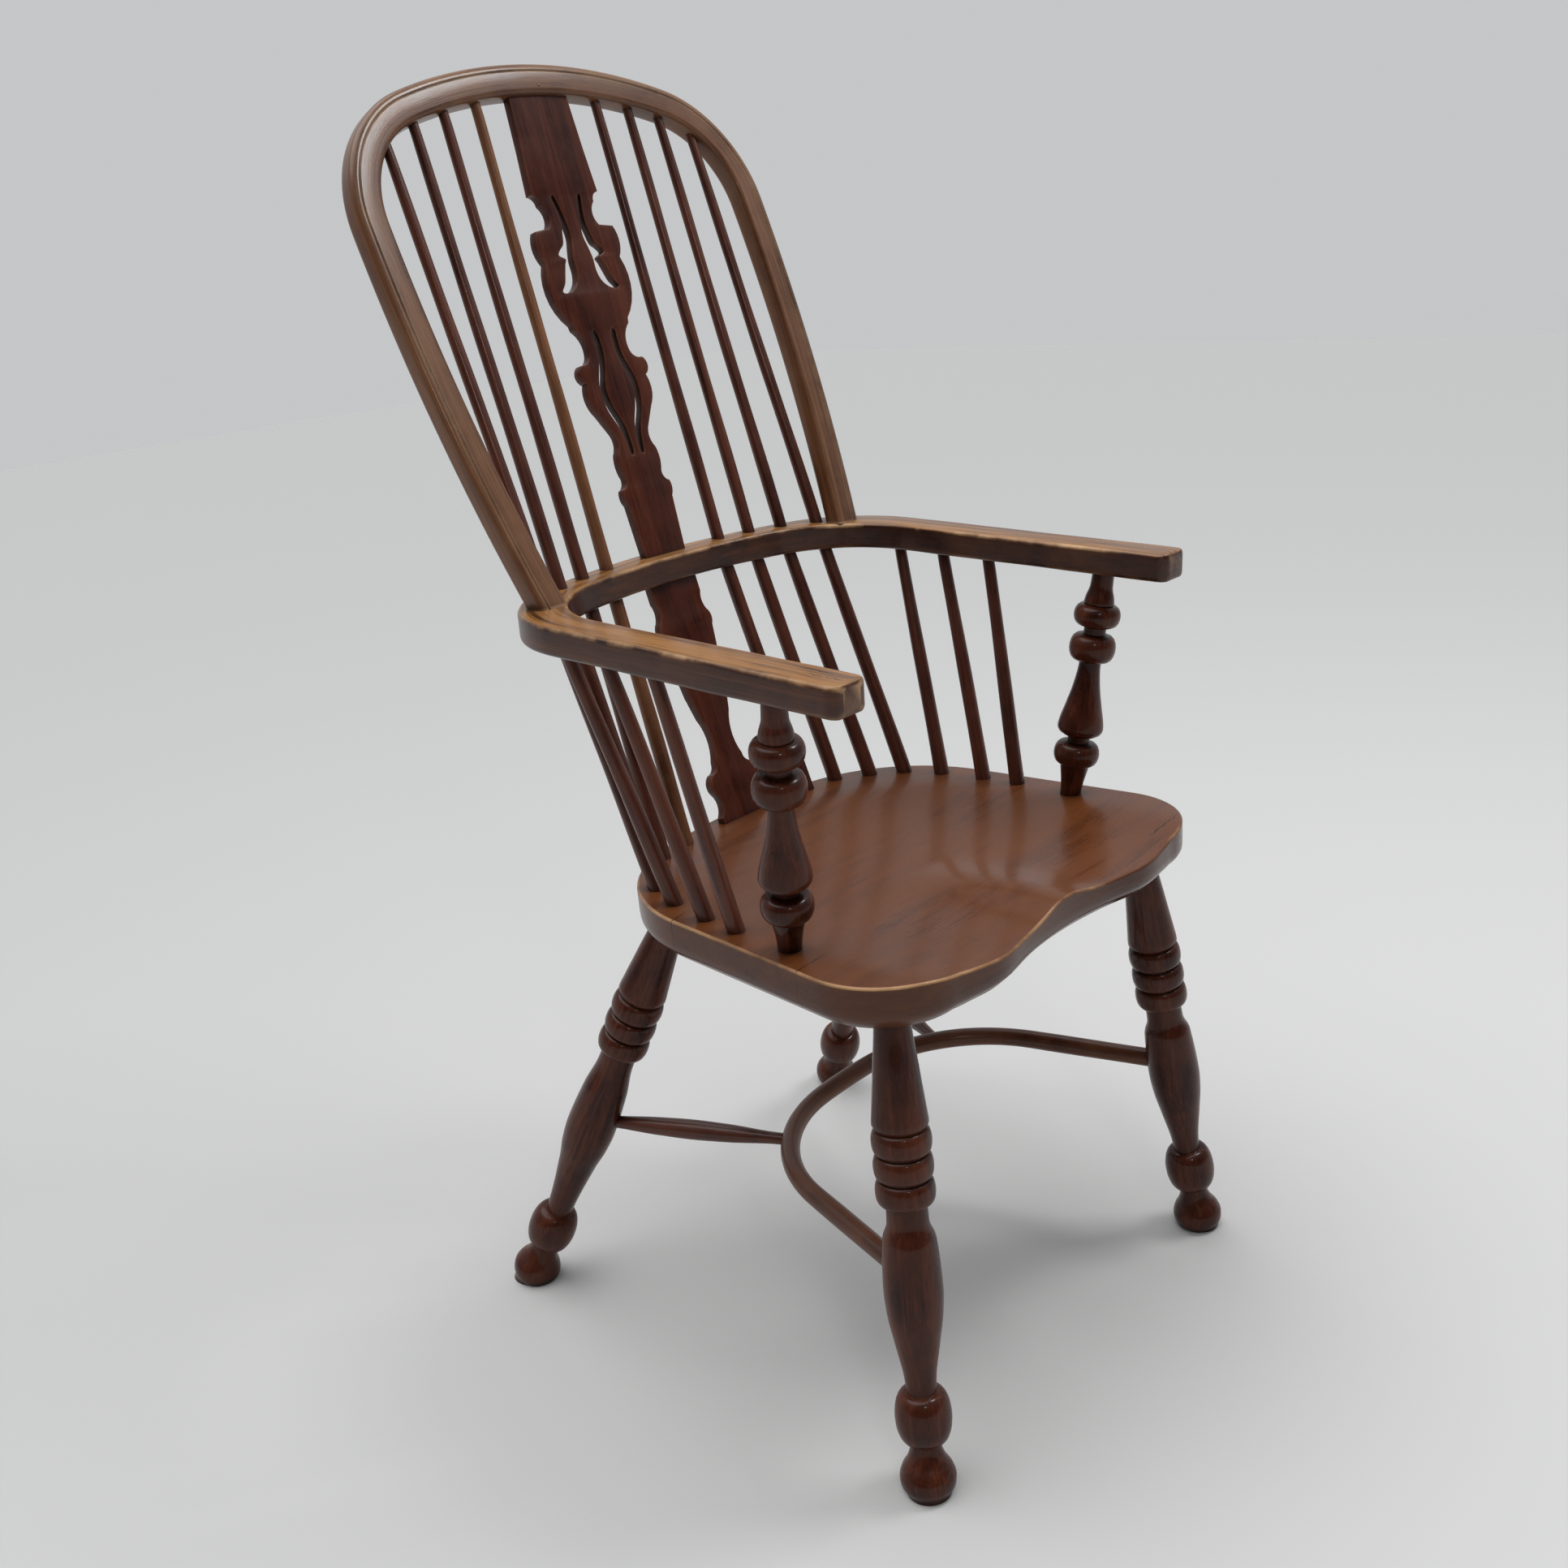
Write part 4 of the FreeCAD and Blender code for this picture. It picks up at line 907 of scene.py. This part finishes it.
# %% Lines and ends of the arm bow
arm_counts = (26, 26, 22)
arm_end_y = -184.0
end_plan_radius = 9.5
end_edge_radius = 3.0
outer_line = whole(rail_line(239.0, 0.0, back_y=248.0, back_radius=535.0, corner_radius=108.0,
                             taper_deg=0.4, front_y=arm_end_y, counts=arm_counts))[::-1]
inner_line = whole(rail_line(201.0, 0.0, back_y=216.0, back_radius=500.0, corner_radius=104.0,
                             taper_deg=0.4, front_y=arm_end_y, counts=arm_counts))[::-1]


def end_rounding(distance, radius):
    """How far an end's outline draws in at a distance from the very end."""
    if distance >= radius:
        return 0.0
    return radius - math.sqrt(radius ** 2 - (radius - distance) ** 2)


def with_close_ends(pairs, spacing=(0.3, 1.0, 2.2, 4.0, 6.5, 9.5)):
    """Extra pairs of points near both ends, so that the ends can be rounded."""
    first, last = [], []
    for step in spacing:
        for made, (here, there) in ((first, (pairs[0], pairs[1])), (last, (pairs[-1], pairs[-2]))):
            moved = []
            for start, end in zip(here, there):
                run = math.hypot(end[0] - start[0], end[1] - start[1])
                moved.append(tuple(a + (b - a) * step / run for a, b in zip(start, end)))
            made.append(tuple(moved))
    return [pairs[0]] + first + pairs[1:-1] + list(reversed(last)) + [pairs[-1]]


pairs = with_close_ends(list(zip(outer_line, inner_line)))
distances = lengths_along([outer for outer, inner in pairs])
print("arm bow:", round(distances[-1]), "mm round its outer edge")

# %% Bend the arm bow
arm_corner = 4.0
top_rub = 1.0
under_rub = 0.3
# The section has four corner arcs of six points, the two upper ones first
arm_marks = [math.sin(math.pi * k / 5.0) * (top_rub if arc < 2 else under_rub)
             for arc in range(4) for k in range(6)]
stations = []
for (outer, inner), distance in zip(pairs, distances):
    from_end = min(distance, distances[-1] - distance)
    plan_inset = end_rounding(from_end, end_plan_radius)
    edge_inset = end_rounding(from_end, end_edge_radius)
    start, end = on_arm(*outer), on_arm(*inner)
    across = (end - start).normalized()
    width = (end - start).length / mm - 2.0 * plan_inset
    worn = 0.35 * math.sin(0.031 * distance) + 0.25 * math.sin(0.083 * distance + 1.0)
    section = rounded_section(width, arm_thick - 2.0 * edge_inset, arm_corner + worn,
                              edge_inset - arm_thick)
    stations.append((start + across * (plan_inset * mm), across, arm_normal, section, distance))
arm = sweep("bent_arm", stations, bent_finish, 0.6, edge_marks=arm_marks)
fitted(arm, "arm_bow")
print("arm bow:", len(arm.data.vertices), "points")

# %% [markdown]
# ### Back hoop
# The hoop is flatter in front than a round bow, with a scratched bead along the outer
# edge of its face. The scratch is a shallow groove in the section, carried all the way
# round. Both feet are cut to lie on the arm.

# %% Line of the hoop
hoop_half_width = 237.0
hoop_rise = 473.0
hoop_start_rise = -40.0
hoop_width = 28.0
corner_radius = 120.0
top_radius = 500.0
side_radius = 1850.0
corner_x = hoop_half_width - corner_radius
top_centre = hoop_rise - top_radius
corner_rise = top_centre + math.sqrt((top_radius - corner_radius) ** 2 - corner_x ** 2)


def hoop_line(inset):
    """The hoop's line at an inset from its outer edge: sides, corners and a nearly flat top."""
    side_centre = (hoop_half_width - side_radius, corner_rise)
    low = math.degrees(math.asin((hoop_start_rise - corner_rise) / side_radius))
    meet = math.degrees(math.atan2(corner_rise - top_centre, corner_x))
    points = arc_points(side_centre, side_radius - inset, low, 0.0, 30)
    points += arc_points((corner_x, corner_rise), corner_radius - inset, 0.0, meet, 26)[1:]
    return whole(points + arc_points((0.0, top_centre), top_radius - inset, meet, 90.0, 16)[1:])


outer = hoop_line(0.0)
inner = hoop_line(hoop_width)
print("hoop:", round(lengths_along(outer)[-1]), "mm round its outer edge")


# %% Bend the hoop
def hoop_section(outside=5.0, inside=4.5):
    """Inset from the outer edge and depth behind the front face, with the scratch."""
    section = arc_points((outside, outside), outside, 180.0, 270.0, 4)
    section += [(6.2, 0.05), (6.8, 0.9), (7.5, 1.2), (8.2, 0.9), (8.8, 0.05)]
    section += arc_points((hoop_width - inside, inside), inside, 270.0, 360.0, 4)
    section += arc_points((hoop_width - inside, hoop_thick - inside), inside, 0.0, 90.0, 4)
    section += arc_points((outside, hoop_thick - outside), outside, 90.0, 180.0, 4)
    return section


backward = in_hoop(0.0, 0.0, 1.0) - in_hoop(0.0, 0.0, 0.0)
stations = []
for start, end, distance in zip(outer, inner, lengths_along(outer)):
    across = (in_hoop(*end) - in_hoop(*start)).normalized()
    stations.append((in_hoop(*start), across, backward.normalized(), hoop_section(), distance))
hoop = sweep("bent_hoop", stations, hoop_finish, 1.9, 32.0)
trim(hoop, on_arm(0.0, 200.0), arm_normal)
fitted(hoop, "back_hoop")
print("hoop:", len(hoop.data.vertices), "points")

# %% [markdown]
# ## Splats
# The two splats are sawn boards, and the upper one is pierced by two pairs of slots. A
# board is drawn flat as a closed outline with holes, given its thickness, and its sawn
# edges are eased a little all round, inside the slots too. The board is then stood up on
# its own leaning plane.


# %% Outline helpers
def three_point_arc(start, middle, end, count=7):
    """Points on the circle through three points, without the first one."""
    (ax, ay), (bx, by), (cx, cy) = start, middle, end
    twice = 2.0 * (ax * (by - cy) + bx * (cy - ay) + cx * (ay - by))
    a2, b2, c2 = ax * ax + ay * ay, bx * bx + by * by, cx * cx + cy * cy
    x = (a2 * (by - cy) + b2 * (cy - ay) + c2 * (ay - by)) / twice
    y = (a2 * (cx - bx) + b2 * (ax - cx) + c2 * (bx - ax)) / twice
    first, through, last = (math.atan2(py - y, px - x) for px, py in (start, middle, end))
    full = 2.0 * math.pi
    sweep_angle = (last - first) % full
    if (through - first) % full > sweep_angle:
        sweep_angle -= full
    radius = math.hypot(ax - x, ay - y)
    turns = [first + sweep_angle * k / count for k in range(1, count + 1)]
    return [(x + radius * math.cos(turn), y + radius * math.sin(turn)) for turn in turns]


def board_edge(foot_half, steps, head_half, length, foot_tongue, head_tongue):
    """Closed outline from the right-hand edge and its mirror image."""
    edge = [(foot_half, -foot_tongue), (foot_half, 0.0)]
    for step in steps + [(head_half, length), (head_half, length + head_tongue)]:
        if len(step) == 4:
            edge += three_point_arc(edge[-1], step[:2], step[2:])
        else:
            edge.append(step)
    return edge + [(-x, y) for x, y in reversed(edge)]


def soft_loop(points, count=5):
    """Smooth closed loop through the given points."""
    loop = []
    total = len(points)
    for i in range(total):
        p0, p1, p2, p3 = (points[(i + k) % total] for k in (-1, 0, 1, 2))
        for k in range(count):
            t = k / count
            loop.append(tuple(0.5 * (2.0 * b + (c - a) * t + (2.0 * a - 5.0 * b + 4.0 * c - d) * t * t
                                     + (3.0 * b - a - 3.0 * c + d) * t ** 3)
                              for a, b, c, d in zip(p0, p1, p2, p3)))
    return loop


def mirrored(loop):
    return [(-x, y) for x, y in reversed(loop)]


print("an arc through three points has", len(three_point_arc((0, 0), (1, 1), (2, 0))), "new points")


# %% Board helper
def board(name, loops, foot, head, thickness, finish, eased=0.9):
    """Board with eased edges on the leaning line from foot to head."""
    drawing = bpy.data.curves.new(name, "CURVE")
    drawing.dimensions = "2D"
    drawing.fill_mode = "BOTH"
    drawing.extrude = (thickness / 2.0 - eased) * mm
    drawing.bevel_depth = eased * mm
    drawing.bevel_resolution = 2
    drawing.offset = -eased * mm
    for loop in loops:
        spline = drawing.splines.new("POLY")
        spline.points.add(len(loop) - 1)
        for point, (x, y) in zip(spline.points, loop):
            point.co = (x * mm, y * mm, 0.0, 1.0)
        spline.use_cyclic_u = True
    drawn = bpy.data.objects.new(name + "_drawing", drawing)
    bpy.context.collection.objects.link(drawn)
    bpy.context.view_layer.update()
    mesh = bpy.data.meshes.new_from_object(drawn.evaluated_get(bpy.context.evaluated_depsgraph_get()))
    bpy.data.objects.remove(drawn)
    upward = (head - foot).normalized()
    across = Vector((1.0, 0.0, 0.0))
    outward = across.cross(upward)
    work = bmesh.new()
    work.from_mesh(mesh)
    bmesh.ops.remove_doubles(work, verts=work.verts, dist=1e-5)
    place = work.verts.layers.float_vector.new("grain_place")
    for vertex in work.verts:
        x, y, z = vertex.co
        vertex[place] = (x, z, y)
        vertex.co = foot + across * x + upward * y + outward * z
    bmesh.ops.recalc_face_normals(work, faces=work.faces)
    for face in work.faces:
        face.smooth = True
    for bend in work.edges:
        bend.smooth = bend.calc_face_angle(0.0) < math.radians(24.0)
    work.to_mesh(mesh)
    work.free()
    mesh.materials.clear()
    mesh.materials.append(finish)
    piece = bpy.data.objects.new(name, mesh)
    bpy.context.collection.objects.link(piece)
    return piece


splat_thick = 9.0
print("boards:", splat_thick, "mm thick")

# %% [markdown]
# ### Upper splat
# Its edge is sawn in steps and arcs, written from the arm upwards for one side: two numbers
# are the end of a straight cut, and four are an arc's middle and end. Each slot is a smooth
# loop. A hidden tongue enters the arm below and the hoop above.

# %% Outlines of the upper splat
upper_edge = [
    (28.0, 50.0), (30.8, 58.0, 29.5, 65.0), (25.0, 68.0, 23.0, 75.0), (25.5, 86.0, 24.0, 98.0),
    (20.0, 108.0, 23.0, 119.0), (33.0, 136.0), (39.0, 149.0, 37.0, 165.0), (42.5, 173.0, 38.0, 182.0),
    (28.5, 184.5, 24.5, 192.0), (25.5, 204.0, 33.0, 214.0), (34.0, 219.0), (48.5, 244.0, 45.0, 275.0),
    (50.0, 290.0, 46.5, 304.0), (30.5, 306.0), (26.5, 314.0, 31.5, 327.0), (34.0, 333.5, 39.5, 336.0),
    (36.5, 375.0),
]
wing_slot = [
    (14.5, 334.0), (11.0, 322.0), (8.0, 306.0), (7.5, 296.0), (10.0, 286.0), (12.0, 276.0), (12.0, 265.0),
    (15.0, 256.0), (22.0, 249.5), (30.0, 247.5), (34.0, 249.5), (29.0, 256.0), (25.5, 265.0), (22.5, 273.0),
    (20.5, 277.5), (27.0, 281.5), (24.0, 286.0), (18.5, 291.0), (16.0, 300.0), (14.0, 310.0), (15.0, 322.0),
    (17.0, 333.0),
]
leaf_slot = [
    (10.0, 211.0), (8.0, 200.0), (8.5, 186.0), (12.0, 173.0), (16.0, 162.0), (16.5, 150.0), (13.0, 138.0),
    (7.0, 124.0), (5.0, 112.0), (4.5, 97.0), (8.0, 95.5), (10.0, 110.0), (13.5, 122.0), (20.5, 137.0),
    (23.0, 150.0), (22.5, 163.0), (18.0, 176.0), (14.0, 188.0), (13.5, 200.0), (13.5, 210.0),
]
print("upper splat:", len(upper_edge), "cuts on each side, slots through", len(wing_slot), "and",
      len(leaf_slot), "points")

# %% Saw the upper splat
upper_foot = on_arm(0.0, 234.0)
upper_head = in_hoop(0.0, 445.0, hoop_thick / 2.0)
upper_length = (upper_head - upper_foot).length / mm
outline = board_edge(foot_half=25.5, steps=upper_edge, head_half=34.0, length=upper_length,
                     foot_tongue=9.0, head_tongue=14.0)
slots = [soft_loop(slot) for slot in (wing_slot, leaf_slot)]
upper_loops = [outline] + slots + [mirrored(slot) for slot in slots]
upper = board("sawn_upper_splat", upper_loops, upper_foot, upper_head, splat_thick, splat_finish)
fitted(upper, "upper_splat")
print("upper splat:", round(upper_length), "mm")

# %% [markdown]
# ### Lower splat and pin
# The lower splat carries the pattern on down to the seat, without slots. A small oak pin
# goes through the hoop into the upper splat's tongue and stands a hair proud of the hoop.

# %% Saw the lower splat
lower_edge = [
    (31.0, 5.0), (26.0, 16.0, 29.5, 28.0), (32.5, 37.0, 27.0, 47.0), (20.5, 50.0, 18.0, 57.0),
    (13.5, 79.0, 19.0, 101.0), (24.5, 124.0), (32.0, 184.0), (34.0, 193.0, 30.5, 200.0),
    (28.0, 208.0, 30.0, 218.0),
]
lower_foot = at(0.0, 160.0, seat_top)
lower_head = on_arm(0.0, 229.0, arm_thick)
lower_length = (lower_head - lower_foot).length / mm
outline = board_edge(foot_half=31.0, steps=lower_edge, head_half=30.0, length=lower_length,
                     foot_tongue=14.0, head_tongue=9.0)
lower = board("sawn_lower_splat", [outline], lower_foot, lower_head, splat_thick, splat_finish)
fitted(lower, "lower_splat")
print("lower splat:", round(lower_length), "mm")

# %% Drive the pin
pin_rise = 452.0
pin_length = 16.0
pin_top = in_hoop(0.0, pin_rise, -0.3)
pin_end = in_hoop(0.0, pin_rise, pin_length)
pin_profile = [(0.0, 1.5), (0.3, 1.9), (pin_length, 1.8)]
pin = turned_piece("oak_pin", pin_top, pin_end, pin_profile, stick_finish, 0.2)
fitted(pin, "splat_pin")
print("pin:", pin_length, "mm deep")

# %% [markdown]
# ## Seat
# The seat is a thick elm plank, hollowed by adze and scraper into a saddle with a ridge at
# the front, and its outline is a wide shield with a dipped front. Rings of points shrink
# from the outline to the middle, each at the height of the hollowed surface. At the rim
# the rings roll over an eased edge, run down the side and finish under a long bevel.

# %% Outline of the seat
seat_half_width = 232.0
seat_wide_y = -140.0
seat_taper_deg = 5.4
front_round = 75.0
front_steps = 18
dip_depth = 7.0
lobe_depth = 6.0
lobe_width = 34.0
seat_corner = (seat_half_width - front_round / math.cos(math.radians(seat_taper_deg)), seat_wide_y)
side_start_y = seat_corner[1] + front_round * math.sin(math.radians(seat_taper_deg))
side_and_back = rail_line(seat_half_width, seat_wide_y, back_y=176.0, back_radius=480.0,
                          corner_radius=145.0, taper_deg=seat_taper_deg, front_y=side_start_y,
                          counts=(14, 16, 14))
front_arc = arc_points(seat_corner, front_round, -90.0, seat_taper_deg, front_steps)[:-1]
front_y = seat_corner[1] - front_round
lobe_x = 0.7 * seat_corner[0]
front_points = []
for k in range(1, front_steps):
    x = seat_corner[0] * k / front_steps
    lobe = -lobe_depth * math.exp(-((x - lobe_x) / lobe_width) ** 2)
    dip = dip_depth * math.cos(min(1.0, x / lobe_x) * math.pi / 2.0) ** 2
    front_points.append((x, front_y + dip + lobe))
half_rim = [(0.0, front_y + dip_depth)] + front_points + front_arc + side_and_back
rim_points = half_rim + [(-x, y) for x, y in reversed(half_rim[1:-1])]
print("seat outline:", len(rim_points), "points")

# %% Hollow of the seat
hollow_depth = 11.0
hollow_half_width = 186.0
hollow_y = -60.0
hollow_to_back = 192.0
hollow_to_front = 100.0
ridge_height = 9.0
ridge_width = 34.0


def saddle_height(x, y, soft=1.2):
    """Height of the hollowed top, which eases into the flat rim."""
    back = max(0.0, (y - hollow_y) / hollow_to_back)
    forward = min(1.0, max(0.0, (hollow_y - y) / hollow_to_front))
    ridge = ridge_height * math.exp(-(x / ridge_width) ** 2) * math.sin(forward * math.pi / 2.0)
    drop = hollow_depth * (1.0 - math.hypot(x / hollow_half_width, back) ** 3) - ridge
    return seat_top - soft * math.log(1.0 + math.exp(min(drop / soft, 40.0)))


def seat_rings(roll_in=2.6, roll_down=2.4, count=40):
    """Rings of (inset, depth under the top, share of the way out from the middle)."""
    rings = [(roll_in, 0.0, 0.03 + 0.945 * k / count) for k in range(count + 1)]
    rings += [(3.4, 0.0, 1.0), (roll_in, 0.0, 1.0)]
    rings += [(roll_in - roll_in * math.sin(turn), roll_down - roll_down * math.cos(turn), 1.0)
              for turn in (0.4, 0.8, 1.2, math.pi / 2.0)]
    return rings + [(0.0, 3.2, 1.0)]


def inset_rim(points, inset):
    """The outline moved inwards, square to itself."""
    moved = []
    for k, (x, y) in enumerate(points):
        (ax, ay), (bx, by) = points[k - 1], points[(k + 1) % len(points)]
        run = math.hypot(bx - ax, by - ay)
        moved.append((x - inset * (by - ay) / run, y + inset * (bx - ax) / run))
    return moved


print("hollow:", round(seat_top - saddle_height(80.0, -60.0), 1), "mm deep")

# %% Build the seat
ring_middle_y = -20.0
# Insets and heights down the side and under the long bevel
side_and_bevel = ((0.0, 427.0), (0.4, 421.0), (2.5, 417.0), (11.0, seat_under + 0.4), (12.5, seat_under))

work = bmesh.new()
place = work.verts.layers.float_vector.new("grain_place")
rubbed_edge = work.verts.layers.float.new("rubbed_edge")
rows = []
for inset, depth, share in seat_rings():
    row = []
    for x, y in inset_rim(rim_points, inset):
        x, y = x * share, ring_middle_y + (y - ring_middle_y) * share
        vertex = work.verts.new(at(x, y, saddle_height(x, y) - depth))
        vertex[rubbed_edge] = 1.0 if 0.1 < depth < 2.0 else 0.0
        row.append(vertex)
    rows.append(row)
for inset, height in side_and_bevel:
    rows.append([work.verts.new(at(x, y, height)) for x, y in inset_rim(rim_points, inset)])
for inner_row, outer_row in zip(rows, rows[1:]):
    for k in range(len(inner_row)):
        work.faces.new((inner_row[k - 1], inner_row[k], outer_row[k], outer_row[k - 1]))
work.faces.new(rows[0])
work.faces.new(rows[-1])
bmesh.ops.recalc_face_normals(work, faces=work.faces)
# The plank's grain runs from side to side, a little bowed
for vertex in work.verts:
    x, y, z = vertex.co
    vertex[place] = (y + 0.10 * x * x, z * 1.5, x)
for face in work.faces:
    face.smooth = True
for bend in work.edges:
    bend.smooth = bend.calc_face_angle(0.0) < math.radians(38.0)
mesh = bpy.data.meshes.new("hollowed_seat")
work.to_mesh(mesh)
work.free()
mesh.materials.append(seat_finish)
seat = bpy.data.objects.new("hollowed_seat", mesh)
bpy.context.collection.objects.link(seat)
fitted(seat, "seat")
print("seat:", len(mesh.vertices), "points")
